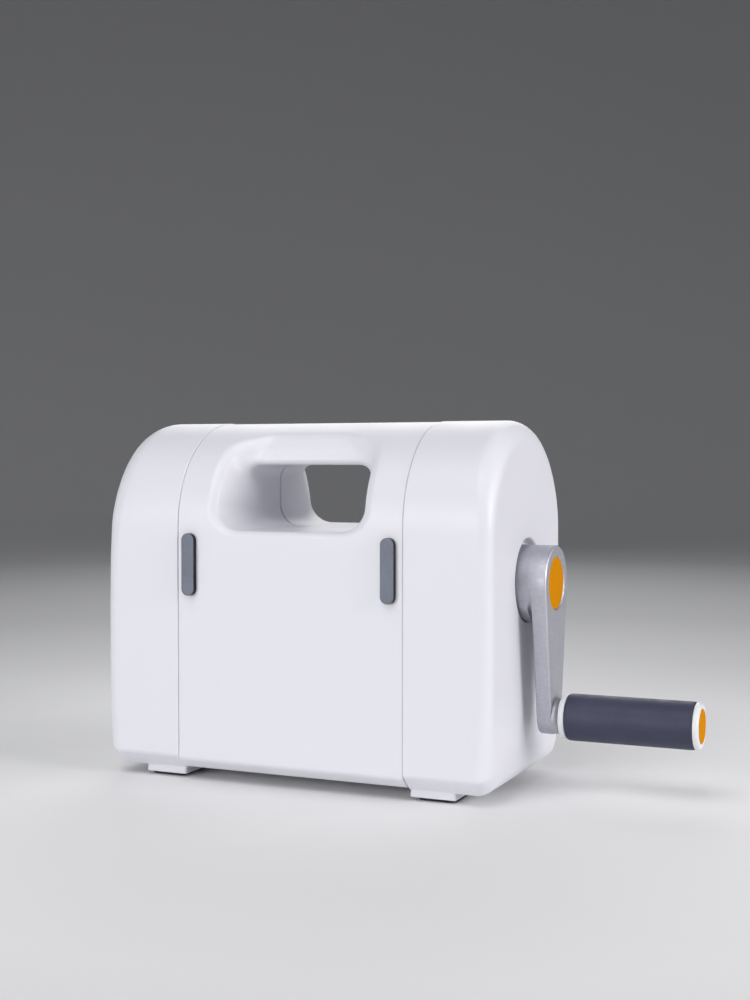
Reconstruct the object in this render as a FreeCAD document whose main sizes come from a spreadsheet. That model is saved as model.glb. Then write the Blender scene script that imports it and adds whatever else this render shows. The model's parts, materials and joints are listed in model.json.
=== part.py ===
import FreeCAD, Part
import Sketcher
import math
import os
from FreeCAD import Vector, Placement, Rotation

# Compact hand-cranked die cutting machine, folded for carrying.
# Millimetres. X runs along the rollers, the crank is on +X, the front door is
# on -Y and +Z is up. Every piece is drawn about the middle of the body and then
# shifted by frame_shift, so that the origin is under the centre of the whole
# object, crank grip included, on the table.

doc = FreeCAD.newDocument("die_cutting_machine")
sheet = doc.addObject("Spreadsheet::Sheet", "Params")

CELLS = {}


class Dim:
    """A length that keeps both its value and the sheet expression behind it."""

    def __init__(self, val, ex):
        self.val = float(val)
        self.ex = ex

    def __add__(self, o):
        o = dim(o)
        return Dim(self.val + o.val, "(%s + %s)" % (self.ex, o.ex))

    __radd__ = __add__

    def __sub__(self, o):
        o = dim(o)
        return Dim(self.val - o.val, "(%s - %s)" % (self.ex, o.ex))

    def __rsub__(self, o):
        return dim(o) - self

    def __mul__(self, o):
        o = dim(o)
        return Dim(self.val * o.val, "(%s * %s)" % (self.ex, o.ex))

    __rmul__ = __mul__

    def __truediv__(self, o):
        o = dim(o)
        return Dim(self.val / o.val, "(%s / %s)" % (self.ex, o.ex))

    def __neg__(self):
        return Dim(-self.val, "(0 - %s)" % self.ex)


def dim(o):
    if isinstance(o, Dim):
        return o
    return Dim(o, repr(float(o)))


def cell(alias, value, note):
    row = len(CELLS) + 1
    sheet.set("A%d" % row, alias)
    sheet.set("B%d" % row, repr(float(value)))
    sheet.set("C%d" % row, note)
    sheet.setAlias("B%d" % row, alias)
    CELLS[alias] = Dim(value, "Params." + alias)
    return CELLS[alias]


# ---------------------------------------------------------------- dimensions
shift = cell("frame_shift", -31.75, "moves the body-centred drawing to the object's centre")

half_w = cell("half_width", 77.4, "side wall of the housings")
half_d = cell("half_depth", 41.4, "front and rear walls")
top_z = cell("top_height", 133.6, "crown of the arch")
floor_z = cell("housing_floor", 3.6, "underside of the housings")
spring_z = cell("arch_spring", 94.5, "height where the walls start to curve in")
shoulder_r = cell("shoulder_radius", 38.6, "radius of the arch's shoulders")
wall = cell("wall", 2.5, "moulded wall thickness")
cover_fit = cell("cover_inset", 2.6, "inner cover sits this far inside the outline")
cham_d = cell("chamfer_depth", 6.5, "lower chamfer of the housings, in depth")
cham_z = cell("chamfer_rise", 5.7, "lower chamfer of the housings, in height")
edge_r = cell("edge_radius", 5.0, "rounding of the outer side edges")

# The crown arc is tangent to both shoulder arcs, which fixes its radius.
_hd, _rc = half_d.val, shoulder_r.val
_R = ((_hd - _rc) ** 2 + (top_z.val - spring_z.val) ** 2 - _rc ** 2) / (
    2.0 * (top_z.val - spring_z.val - _rc))
_u = Vector(_hd - _rc, spring_z.val - (top_z.val - _R), 0)
_u.normalize()
crown_r = cell("crown_radius", _R, "radius of the crown, tangent to the shoulders")
tan_y = cell("tangent_y", _R * _u.x, "where crown and shoulder meet")
tan_z = cell("tangent_z", top_z.val - _R + _R * _u.y, "where crown and shoulder meet")
dir_y = cell("tangent_dir_y", _u.x, "outward normal there")
dir_z = cell("tangent_dir_z", _u.y, "outward normal there")

seam_x = cell("housing_inner", 45.2, "inner face of each housing")
door_x = cell("door_half_width", 44.8, "door half width, 0.4 less than the opening")
door_in = cell("door_recess", 0.25, "doors sit this far inside the housing outline")
door_z = cell("door_floor", 4.5, "underside of the doors")
door_cd = cell("door_chamfer_depth", 5.0, "lower chamfer of the doors, in depth")
door_cz = cell("door_chamfer_rise", 3.9, "lower chamfer of the doors, in height")
meet_y = cell("meeting_gap", 0.15, "half the gap between the closed doors")
panel_y = cell("panel_face", 12.5, "platform face of a closed door, from the centre plane")
step_z = cell("handle_step", 91.0, "underside of the handle block")
hinge_y = cell("hinge_depth", 33.3, "door hinge axis from the centre plane")
hinge_z = cell("hinge_height", 10.2, "door hinge axis above the table")

grip_w = cell("tunnel_half_width", 23.6, "half width of the hand opening at the seam")
grip_lo = cell("tunnel_floor", 93.5, "lower face of the hand opening")
grip_hi = cell("tunnel_roof", 117.5, "underside of the carry bar")
grip_r = cell("tunnel_corner", 9.5, "corner radius of the hand opening")

plate_i = cell("plate_inner", 50.0, "inner face of the steel side plates")
plate_t = cell("plate_thickness", 3.0, "steel side plates")

low_z = cell("lower_roller_height", 21.0, "axis of the lower roller")
upp_z = cell("upper_roller_height", 59.0, "axis of the upper roller")
crank_z = cell("crank_height", 75.0, "axis of the crank")
idler_z = cell("idler_height", 48.75, "axis of the idler between crank and roller")
roller_r = cell("roller_radius", 11.0, "roller barrel")
roller_l = cell("roller_half_length", 43.0, "half of the roller barrel")
shaft_r = cell("shaft_radius", 4.0, "roller journals and crank shaft")
run_r = cell("bush_bore_radius", 4.05, "running fit on the shafts")
axle_r = cell("axle_radius", 3.0, "idler axles")
axle_run = cell("axle_bore_radius", 3.05, "running fit on the idler axles")

cap_r = cell("cap_radius", 9.7, "round cap in the crank hub")
mod_main = cell("main_module", 1.5, "gear module of the crank train")
mod_sync = cell("sync_module", 1.25, "gear module of the train that joins the rollers")
z_pin = cell("pinion_teeth", 12, "crank pinion")
z_idl = cell("idler_teeth", 23, "idler gear")
z_low = cell("roller_gear_teeth", 14, "gear on the lower roller")
z_syn = cell("sync_teeth", 15, "four equal gears between the rollers")
sync_ay = cell("sync_offset", 9.019, "sideways offset of the two sync idlers")
sync_a = cell("sync_low_height", 37.439, "axis of the lower sync idler")
sync_b = cell("sync_high_height", 42.561, "axis of the upper sync idler")

arm_i = cell("arm_inner", 82.5, "inner face of the crank arm")
arm_o = cell("arm_outer", 88.0, "outer face of the crank arm")
hub_r = cell("hub_radius", 13.6, "crank hub")
hub_i = cell("hub_inner", 73.6, "inner end of the crank hub")
cup_r = cell("cup_radius", 14.6, "recess in the side wall round the hub")
cup_i = cell("cup_floor", 73.0, "floor of that recess")
arm_tip_r = cell("arm_tip_radius", 6.6, "lower end of the crank arm")
gripax_z = cell("grip_height", 27.1, "axis of the crank grip at rest")
sleeve_r = cell("grip_radius", 8.4, "grip sleeve")
grip_end = cell("grip_end", 140.5, "outer end of the grip")

foot_i = cell("foot_inner", 45.4, "inner side of the moulded feet")
foot_o = cell("foot_outer", 62.6, "outer side of the moulded feet")
foot_f = cell("foot_front", 35.4, "front face of the feet from the centre plane")
foot_b = cell("foot_back", 11.5, "inner face of the feet from the centre plane")
pad_t = cell("pad_thickness", 1.25, "rubber under the feet")

doorpad_i = cell("door_pad_inner", 37.3, "inner side of the rubber bars on the doors")
doorpad_o = cell("door_pad_outer", 42.5, "outer side of the rubber bars")
doorpad_lo = cell("door_pad_bottom", 69.3, "lower end of the rubber bars")
doorpad_hi = cell("door_pad_top", 92.3, "upper end of the rubber bars")
doorpad_y = cell("door_pad_face", 43.5, "outer face of the rubber bars")

doc.recompute()

PIECES = []


def put(obj, x=0.0, y=0.0, z=0.0, rotation=None):
    """Places a finished sub-part; x is measured from the body's centre."""
    x, y, z = dim(x), dim(y), dim(z)
    px = shift + x
    rot = rotation if rotation is not None else Rotation()
    obj.Placement = Placement(Vector(px.val, y.val, z.val), rot)
    obj.setExpression("Placement.Base.x", px.ex)
    obj.setExpression("Placement.Base.y", y.ex)
    obj.setExpression("Placement.Base.z", z.ex)
    PIECES.append(obj)
    return obj


def bind(obj, prop, value):
    value = dim(value)
    setattr(obj, prop, value.val)
    obj.setExpression(prop, value.ex)


def plane(body, role):
    return [f for f in body.Origin.OriginFeatures if f.Role == role][0]


def new_body(label):
    body = doc.addObject("PartDesign::Body", label)
    body.Label = label
    return body


def attach(body, name, role, offset=0.0):
    sk = body.newObject("Sketcher::SketchObject", name)
    sk.AttachmentSupport = [(plane(body, role), "")]
    sk.MapMode = "FlatFace"
    offset = dim(offset)
    sk.AttachmentOffset = Placement(Vector(0, 0, offset.val), Rotation())
    sk.setExpression("AttachmentOffset.Base.z", offset.ex)
    return sk


def arc_center(a, b, r, side):
    """Centre of the counter-clockwise arc of radius r from a to b."""
    mid = (a + b) * 0.5
    d = b - a
    half = d.Length / 2.0
    off = math.sqrt(max(r * r - half * half, 0.0))
    nrm = Vector(-d.y, d.x, 0)
    nrm.normalize()
    return mid + nrm * (off if side > 0 else -off)


def outline(sk, pts, arcs=None):
    """Closed loop of lines and counter-clockwise arcs.

    pts is a list of (u, v). arcs maps the index of a segment's first point to
    (radius, side): side 1 is the minor arc of a convex corner, side -1 the
    major one.
    """
    arcs = arcs or {}
    pts = [(dim(u), dim(v)) for u, v in pts]
    n = len(pts)
    base = sk.GeometryCount
    for i in range(n):
        a = Vector(pts[i][0].val, pts[i][1].val, 0)
        b = Vector(pts[(i + 1) % n][0].val, pts[(i + 1) % n][1].val, 0)
        if i in arcs:
            r, side = arcs[i]
            r = dim(r)
            c = arc_center(a, b, r.val, side)
            a0 = math.atan2(a.y - c.y, a.x - c.x)
            a1 = math.atan2(b.y - c.y, b.x - c.x)
            if a1 <= a0:
                a1 += 2 * math.pi
            sk.addGeometry(Part.ArcOfCircle(Part.Circle(c, Vector(0, 0, 1), r.val), a0, a1), False)
        else:
            sk.addGeometry(Part.LineSegment(a, b), False)
    for i in range(n):
        sk.addConstraint(Sketcher.Constraint("Coincident", base + i, 2, base + (i + 1) % n, 1))
    binds = []
    for i in range(n):
        u, v = pts[i]
        binds.append((sk.addConstraint(Sketcher.Constraint("DistanceX", -1, 1, base + i, 1, u.val)), u.ex))
        binds.append((sk.addConstraint(Sketcher.Constraint("DistanceY", -1, 1, base + i, 1, v.val)), v.ex))
        if i in arcs:
            r = dim(arcs[i][0])
            binds.append((sk.addConstraint(Sketcher.Constraint("Radius", base + i, r.val)), r.ex))
    for k, ex in binds:
        sk.setExpression("Constraints[%d]" % k, ex)
    return sk


def circle(sk, u, v, r):
    u, v, r = dim(u), dim(v), dim(r)
    g = sk.addGeometry(Part.Circle(Vector(u.val, v.val, 0), Vector(0, 0, 1), r.val), False)
    kx = sk.addConstraint(Sketcher.Constraint("DistanceX", -1, 1, g, 3, u.val))
    ky = sk.addConstraint(Sketcher.Constraint("DistanceY", -1, 1, g, 3, v.val))
    kr = sk.addConstraint(Sketcher.Constraint("Radius", g, r.val))
    sk.setExpression("Constraints[%d]" % kx, u.ex)
    sk.setExpression("Constraints[%d]" % ky, v.ex)
    sk.setExpression("Constraints[%d]" % kr, r.ex)
    return sk


def rounded(u0, u1, v0, v1, r):
    """Points and arcs of a rounded rectangle, counter-clockwise."""
    u0, u1, v0, v1, r = dim(u0), dim(u1), dim(v0), dim(v1), dim(r)
    pts = [(u0 + r, v0), (u1 - r, v0), (u1, v0 + r), (u1, v1 - r),
           (u1 - r, v1), (u0 + r, v1), (u0, v1 - r), (u0, v0 + r)]
    return pts, {1: (r, 1), 3: (r, 1), 5: (r, 1), 7: (r, 1)}


def pad(body, sk, length, flip=False, both=False):
    f = body.newObject("PartDesign::Pad", sk.Name + "_pad")
    f.Profile = sk
    bind(f, "Length", length)
    if both:
        f.SideType = "Symmetric"
    f.Reversed = flip
    doc.recompute()
    return f


def pocket(body, sk, length, flip=False, both=False):
    before = body.Shape.Volume
    f = body.newObject("PartDesign::Pocket", sk.Name + "_cut")
    f.Profile = sk
    bind(f, "Length", length)
    if both:
        f.SideType = "Symmetric"
    f.Reversed = flip
    doc.recompute()
    if not body.Shape.Volume < before - 0.01:
        raise RuntimeError("%s cut nothing in %s" % (sk.Name, body.Label))
    return f


def x_pad(body, name, shape, x0, x1):
    """Pads an outline drawn in the YZ plane from x0 to x1."""
    x0, x1 = dim(x0), dim(x1)
    sk = attach(body, name, "YZ_Plane", x0)
    shape(sk)
    return pad(body, sk, x1 - x0)


def x_cut(body, name, shape, x0, x1):
    x0, x1 = dim(x0), dim(x1)
    sk = attach(body, name, "YZ_Plane", x0)
    shape(sk)
    return pocket(body, sk, x1 - x0, flip=True)


def turned(label, steps, y=0.0, z=0.0, bore=None, keep=True):
    """A turned piece on the X axis: steps is a list of (x0, x1, radius)."""
    body = new_body(label)
    sk = attach(body, label + "_profile", "XZ_Plane")
    inner = dim(bore) if bore is not None else dim(0.0)
    pts = [(steps[0][0], inner)]
    for x0, x1, r in steps:
        pts.append((x0, r))
        pts.append((x1, r))
    pts.append((steps[-1][1], inner))
    clean = []
    for p in pts:
        p = (dim(p[0]), dim(p[1]))
        if clean and abs(clean[-1][0].val - p[0].val) < 1e-6 and abs(clean[-1][1].val - p[1].val) < 1e-6:
            continue
        clean.append(p)
    clean.reverse()
    outline(sk, clean)
    doc.recompute()
    f = body.newObject("PartDesign::Revolution", label + "_turn")
    f.Profile = sk
    f.ReferenceAxis = (sk, ["H_Axis"])
    f.Angle = 360.0
    doc.recompute()
    if keep:
        put(body, 0.0, y, z)
    return body


def rod(name, x0, x1, r, y, z):
    """Plain cylinder along X, from x0 to x1."""
    x0, x1, r, y, z = dim(x0), dim(x1), dim(r), dim(y), dim(z)
    c = doc.addObject("Part::Cylinder", name)
    bind(c, "Radius", r)
    bind(c, "Height", x1 - x0)
    c.Placement = Placement(Vector(x0.val, y.val, z.val), Rotation(Vector(0, 1, 0), 90))
    c.setExpression("Placement.Base.x", x0.ex)
    c.setExpression("Placement.Base.y", y.ex)
    c.setExpression("Placement.Base.z", z.ex)
    return c


def rod_y(name, y0, y1, r, x, z):
    """Plain cylinder along Y, from y0 to y1."""
    y0, y1, r, x, z = dim(y0), dim(y1), dim(r), dim(x), dim(z)
    c = doc.addObject("Part::Cylinder", name)
    bind(c, "Radius", r)
    bind(c, "Height", y1 - y0)
    c.Placement = Placement(Vector(x.val, y0.val, z.val), Rotation(Vector(1, 0, 0), -90))
    c.setExpression("Placement.Base.x", x.ex)
    c.setExpression("Placement.Base.y", y0.ex)
    c.setExpression("Placement.Base.z", z.ex)
    return c


def block(name, x0, x1, y0, y1, z0, z1):
    x0, x1, y0, y1, z0, z1 = [dim(v) for v in (x0, x1, y0, y1, z0, z1)]
    b = doc.addObject("Part::Box", name)
    bind(b, "Length", x1 - x0)
    bind(b, "Width", y1 - y0)
    bind(b, "Height", z1 - z0)
    b.Placement = Placement(Vector(x0.val, y0.val, z0.val), Rotation())
    b.setExpression("Placement.Base.x", x0.ex)
    b.setExpression("Placement.Base.y", y0.ex)
    b.setExpression("Placement.Base.z", z0.ex)
    return b


def fuse(name, items):
    f = doc.addObject("Part::MultiFuse", name)
    f.Shapes = items
    return f


def cut(name, a, b):
    c = doc.addObject("Part::Cut", name)
    c.Base = a
    c.Tool = b
    return c


def group(label, items, y=0.0, z=0.0, rotation=None):
    """Separate identical solids kept together under one name."""
    g = doc.addObject("Part::Compound", label)
    g.Label = label
    g.Links = items
    put(g, 0.0, y, z, rotation)
    return g


# ------------------------------------------------------------ housing outline
_L = math.hypot(cham_d.val, cham_z.val)
_my, _mz = cham_z.val / _L, cham_d.val / _L
kz = cell("chamfer_side_factor", _mz - (1 - _my) * cham_z.val / cham_d.val, "chamfer shift on the wall per mm of inset")
ky = cell("chamfer_floor_factor", _my - (1 - _mz) * cham_d.val / cham_z.val, "chamfer shift on the floor per mm of inset")
doc.recompute()


def loaf(t):
    """Housing outline in YZ, moved inward by t."""
    t = dim(t)
    ys, zf = half_d - t, floor_z + t
    yc, zc = half_d - cham_d + ky * t, floor_z + cham_z + kz * t
    ty, tz = tan_y - dir_y * t, tan_z - dir_z * t
    pts = [(-yc, zf), (yc, zf), (ys, zc), (ys, spring_z), (ty, tz),
           (-ty, tz), (-ys, spring_z), (-ys, zc)]
    arcs = {3: (shoulder_r - t, 1), 4: (crown_r - t, 1), 5: (shoulder_r - t, 1)}
    return lambda sk: outline(sk, pts, arcs)


def disc(y, z, r):
    return lambda sk: circle(sk, y, z, r)


def edges_where(shape, test):
    return ["Edge%d" % (i + 1) for i, e in enumerate(shape.Edges) if test(e)]


def housing(label, right):
    s = 1.0 if right else -1.0

    def span(a, b):
        a, b = dim(a), dim(b)
        return (a, b) if right else (-b, -a)

    body = new_body(label)
    x_pad(body, label + "_outer", loaf(0.0), *span(seam_x, half_w))
    last = body.Tip
    face_x = s * half_w.val
    names = edges_where(last.Shape, lambda e: e.BoundBox.XLength < 1e-3 and abs(e.BoundBox.XMin - face_x) < 1e-3)
    fil = body.newObject("PartDesign::Fillet", label + "_edge")
    fil.Base = (last, names)
    bind(fil, "Radius", edge_r)
    doc.recompute()
    x_cut(body, label + "_cavity", loaf(wall), *span(seam_x - 0.5, half_w - wall))
    # screw bosses for the side plate and for the inner cover
    k = 0
    for by, bz in ((27.0, 16.0), (-27.0, 16.0), (27.0, 100.0), (-27.0, 100.0)):
        k += 1
        x_pad(body, label + "_boss%d" % k, disc(by, bz, 4.0), *span(plate_i + plate_t + 0.1, half_w - 1.0))
    for by, bz in ((35.6, 52.0), (-35.6, 52.0), (0.0, 116.0)):
        k += 1
        x_pad(body, label + "_boss%d" % k, disc(by, bz, 3.4), *span(47.6, half_w - 1.0))
    # moulded feet
    for k2, sy in ((1, -1.0), (2, 1.0)):
        y0, y1 = (-foot_f, -foot_b) if sy < 0 else (foot_b, foot_f)
        pts = [(y0, pad_t), (y1, pad_t), (y1, floor_z + 1.2), (y0, floor_z + 1.2)]
        x_pad(body, label + "_foot%d" % k2, lambda sk, p=pts: outline(sk, p), *span(foot_i, foot_o))
    if right:
        x_pad(body, label + "_cup", disc(0.0, crank_z, cup_r + 2.2), 70.5, half_w - 1.0)
        x_cut(body, label + "_recess", disc(0.0, crank_z, cup_r), cup_i, half_w + 1.0)
        x_cut(body, label + "_bush", disc(0.0, crank_z, 5.5), 69.0, 74.0)
    k = 0
    for by, bz in ((27.0, 16.0), (-27.0, 16.0), (27.0, 100.0), (-27.0, 100.0)):
        k += 1
        x_cut(body, label + "_hole%d" % k, disc(by, bz, 1.5), *span(52.0, 62.0))
    for by, bz in ((35.6, 52.0), (-35.6, 52.0), (0.0, 116.0)):
        k += 1
        x_cut(body, label + "_hole%d" % k, disc(by, bz, 1.3), *span(46.0, 57.0))
    put(body)
    return body


housing("right_housing", True)
housing("left_housing", False)


def inner_cover(label, right):
    def span(a, b):
        a, b = dim(a), dim(b)
        return (a, b) if right else (-b, -a)

    body = new_body(label)
    x_pad(body, label + "_plate", loaf(cover_fit), *span(seam_x, 47.4))
    holes = [(0.0, low_z, 5.2), (0.0, upp_z, 5.2), (8.0, 84.0, 4.4), (-8.0, 84.0, 4.4),
             (hinge_y, hinge_z, 1.98), (-hinge_y, hinge_z, 1.98)]
    for i, (hy, hz, r) in enumerate(holes):
        x_cut(body, label + "_hole%d" % (i + 1), disc(hy, hz, r), *span(44.0, 49.0))
    for i, (hy, hz) in enumerate(((35.6, 52.0), (-35.6, 52.0), (0.0, 116.0))):
        x_cut(body, label + "_sink%d" % (i + 1), disc(hy, hz, 2.9), *span(44.0, seam_x + 1.3))
        x_cut(body, label + "_pass%d" % (i + 1), disc(hy, hz, 1.6), *span(44.0, 49.0))
    notch = [(-11.9, 6.0), (11.9, 6.0), (11.9, 9.7), (-11.9, 9.7)]
    x_cut(body, label + "_notch", lambda sk: outline(sk, notch), *span(44.0, 49.0))
    put(body)
    return body


inner_cover("right_inner_cover", True)
inner_cover("left_inner_cover", False)


def side_plate(label, right):
    def span(a, b):
        a, b = dim(a), dim(b)
        return (a, b) if right else (-b, -a)

    body = new_body(label)
    pts, arcs = rounded(-31.6, 31.6, 8.0, 107.5, 9.0)
    x_pad(body, label + "_blank", lambda sk: outline(sk, pts, arcs), *span(plate_i, plate_i + plate_t))
    holes = [(0.0, low_z, 5.5), (0.0, upp_z, 5.5), (8.0, 84.0, 2.1), (-8.0, 84.0, 2.1),
             (8.3, 11.5, 1.6), (-8.3, 11.5, 1.6),
             (27.0, 16.0, 1.7), (-27.0, 16.0, 1.7), (27.0, 100.0, 1.7), (-27.0, 100.0, 1.7)]
    if right:
        holes += [(0.0, crank_z, 5.5), (0.0, idler_z, axle_r)]
    else:
        holes += [(-sync_ay, sync_a, axle_r), (sync_ay, sync_b, axle_r)]
    for i, (hy, hz, r) in enumerate(holes):
        x_cut(body, label + "_hole%d" % (i + 1), disc(hy, hz, r), *span(plate_i - 1, plate_i + plate_t + 1))
    put(body)
    return body


side_plate("right_side_plate", True)
side_plate("left_side_plate", False)


# ------------------------------------------------------------- base and ties
def base_plate():
    body = new_body("base_plate")
    sk = attach(body, "base_profile", "XZ_Plane")
    xo, zb, th, zt = plate_i, dim(7.4), dim(2.0), dim(13.8)
    outline(sk, [(-xo, zb), (xo, zb), (xo, zt), (xo - th, zt), (xo - th, zb + th),
                 (-xo + th, zb + th), (-xo + th, zt), (-xo, zt)])
    pad(body, sk, 23.0, both=True)
    for i, hy in enumerate((8.3, -8.3)):
        x_cut(body, "base_tap_r%d" % i, disc(hy, 11.5, 1.25), plate_i - 3, plate_i + 1)
        x_cut(body, "base_tap_l%d" % i, disc(hy, 11.5, 1.25), -plate_i - 1, -plate_i + 3)
    put(body)
    return body


base_plate()

ties = []
for i, ty in enumerate((8.0, -8.0)):
    a = rod("tie_body_%d" % i, -plate_i, plate_i, 4.0, ty, 84.0)
    b1 = rod("tie_tap_r%d" % i, plate_i - 12, plate_i + 1, 1.98, ty, 84.0)
    b2 = rod("tie_tap_l%d" % i, -plate_i - 1, -plate_i + 12, 1.98, ty, 84.0)
    ties.append(cut("tie_%d" % i, a, fuse("tie_taps_%d" % i, [b1, b2])))
group("tie_rods", ties)


def screw_x(name, seat, direction, y, z, head_r, head_h, shank_r, length):
    """Machine screw along X whose head sits on the plane x = seat."""
    seat = dim(seat)
    if direction > 0:      # head on the +X side, shank towards -X
        head = rod(name + "_head", seat, seat + head_h, head_r, y, z)
        shank = rod(name + "_shank", seat - length, seat + head_h * 0.5, shank_r, y, z)
        slot = rod(name + "_drive", seat + head_h * 0.45, seat + head_h + 1.0, head_r * 0.42, y, z)
    else:
        head = rod(name + "_head", seat - head_h, seat, head_r, y, z)
        shank = rod(name + "_shank", seat - head_h * 0.5, seat + length, shank_r, y, z)
        slot = rod(name + "_drive", seat - head_h - 1.0, seat - head_h * 0.45, head_r * 0.42, y, z)
    return cut(name, fuse(name + "_solid", [head, shank]), slot)


po = plate_i + plate_t
group("tie_rod_screws", [
    screw_x("tie_screw_%d" % i, po if sx > 0 else -po, sx, ty, 84.0, 3.2, 2.2, 1.98, 12.0)
    for i, (sx, ty) in enumerate(((1, 8.0), (1, -8.0), (-1, 8.0), (-1, -8.0)))])
group("base_plate_screws", [
    screw_x("base_screw_%d" % i, po if sx > 0 else -po, sx, ty, 11.5, 2.4, 1.8, 1.23, 5.0)
    for i, (sx, ty) in enumerate(((1, 8.3), (1, -8.3), (-1, 8.3), (-1, -8.3)))])
corners = ((27.0, 16.0), (-27.0, 16.0), (27.0, 100.0), (-27.0, 100.0))
group("side_plate_screws", [
    screw_x("plate_screw_%s%d" % ("r" if sx > 0 else "l", i), plate_i if sx > 0 else -plate_i, -sx, ty, tz,
            3.0, 1.6, 1.48, 11.0)
    for sx in (1, -1) for i, (ty, tz) in enumerate(corners)])
spots = ((35.6, 52.0), (-35.6, 52.0), (0.0, 116.0))
group("inner_cover_screws", [
    screw_x("cover_screw_%s%d" % ("r" if sx > 0 else "l", i), (seam_x + 1.3) * sx, -sx, ty, tz,
            2.7, 1.1, 1.28, 9.0)
    for sx in (1, -1) for i, (ty, tz) in enumerate(spots)])

# ---------------------------------------------------------------- foot pads
feet = []
for i, (sx, sy) in enumerate(((1, -1), (1, 1), (-1, -1), (-1, 1))):
    x0, x1 = (foot_i + 2.1, foot_o - 0.6) if sx > 0 else (-(foot_o - 0.6), -(foot_i + 2.1))
    y0, y1 = (-(foot_f - 0.8), -(foot_b + 0.8)) if sy < 0 else (foot_b + 0.8, foot_f - 0.8)
    blk = block("foot_pad_block_%d" % i, x0, x1, y0, y1, 0.0, pad_t)
    rnd = doc.addObject("Part::Fillet", "foot_pad_%d" % i)
    rnd.Base = blk
    doc.recompute()
    rnd.Edges = [(k + 1, 1.5, 1.5) for k, e in enumerate(blk.Shape.Edges) if e.BoundBox.ZLength > 1.0]
    feet.append(rnd)
group("foot_pads", feet)


# ------------------------------------------------------------------- bushes
def bush(name, flange_x, sign, y, z):
    """Flanged bush pushed through a side plate; the flange faces the rollers."""
    sx = float(sign)
    a, b = (plate_i, plate_i + plate_t + 0.3) if sign > 0 else (-(plate_i + plate_t + 0.3), -plate_i)
    f0, f1 = (plate_i - 1.1, plate_i) if sign > 0 else (-plate_i, -(plate_i - 1.1))
    solid = fuse(name + "_solid", [rod(name + "_tube", a, b, 5.47, y, z),
                                   rod(name + "_flange", f0, f1, 6.8, y, z)])
    return cut(name, solid, rod(name + "_bore", -60.0 if sign < 0 else 40.0, -40.0 if sign < 0 else 60.0, run_r, y, z))


group("roller_bushes", [bush("bush_lr", 0, 1, 0.0, low_z), bush("bush_ll", 0, -1, 0.0, low_z),
                        bush("bush_ur", 0, 1, 0.0, upp_z), bush("bush_ul", 0, -1, 0.0, upp_z)])
inner_bush = bush("bush_crank_in", 0, 1, 0.0, crank_z)
outer_bush = cut("bush_crank_out",
                 fuse("bush_crank_out_solid", [rod("bco_tube", 70.5, 73.2, 5.47, 0.0, crank_z),
                                               rod("bco_flange", 69.2, 70.5, 7.2, 0.0, crank_z)]),
                 rod("bco_bore", 60.0, 80.0, run_r, 0.0, crank_z))
group("crank_bushes", [inner_bush, outer_bush])

# ------------------------------------------------------------------ rollers
turned("lower_roller", [(-66.4, -roller_l, shaft_r), (-roller_l, -roller_l + 0.6, roller_r - 0.6),
                        (-roller_l + 0.6, roller_l - 0.6, roller_r), (roller_l - 0.6, roller_l, roller_r - 0.6),
                        (roller_l, 66.4, shaft_r)], 0.0, low_z)
turned("upper_roller", [(-66.4, -roller_l, shaft_r), (-roller_l, -roller_l + 0.6, roller_r - 0.6),
                        (-roller_l + 0.6, roller_l - 0.6, roller_r), (roller_l - 0.6, roller_l, roller_r - 0.6),
                        (roller_l, 55.4, shaft_r)], 0.0, upp_z)


# -------------------------------------------------------------------- gears
def involute_loop(module, teeth, phase):
    """Outline of a 25 degree involute gear in YZ, one tooth centred at phase."""
    alpha = math.radians(25.0)
    rp = module * teeth / 2.0
    rb = rp * math.cos(alpha)
    ra = rp + 0.85 * module
    rf = rp - 1.15 * module
    half = math.pi / (2.0 * teeth) - 0.09 / rp      # thinned for backlash
    inv = math.tan(alpha) - alpha

    def flank(r):
        if r <= rb:
            return half + inv
        a = math.acos(rb / r)
        return half + inv - (math.tan(a) - a)

    def at(r, ang):
        return Vector(0.0, r * math.cos(ang), r * math.sin(ang))

    start = max(rb, rf + 0.15 * module)
    mid = (start + ra) / 2.0
    edges = []
    pitch = 2.0 * math.pi / teeth
    for k in range(teeth):
        c = phase + k * pitch
        nxt = c + pitch
        p0, p1, p2 = at(start, c - flank(start)), at(mid, c - flank(mid)), at(ra, c - flank(ra))
        q2, q1, q0 = at(ra, c + flank(ra)), at(mid, c + flank(mid)), at(start, c + flank(start))
        edges.append(Part.Arc(p0, p1, p2).toShape())
        edges.append(Part.Arc(p2, at(ra, c), q2).toShape())
        edges.append(Part.Arc(q2, q1, q0).toShape())
        foot = flank(start)
        r0 = at(rf, c + foot + 0.02)
        r2 = at(rf, nxt - foot - 0.02)
        edges.append(Part.makeLine(q0, r0))
        edges.append(Part.Arc(r0, at(rf, c + pitch / 2.0), r2).toShape())
        edges.append(Part.makeLine(r2, at(start, nxt - flank(start))))
    return Part.Wire(edges)


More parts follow.
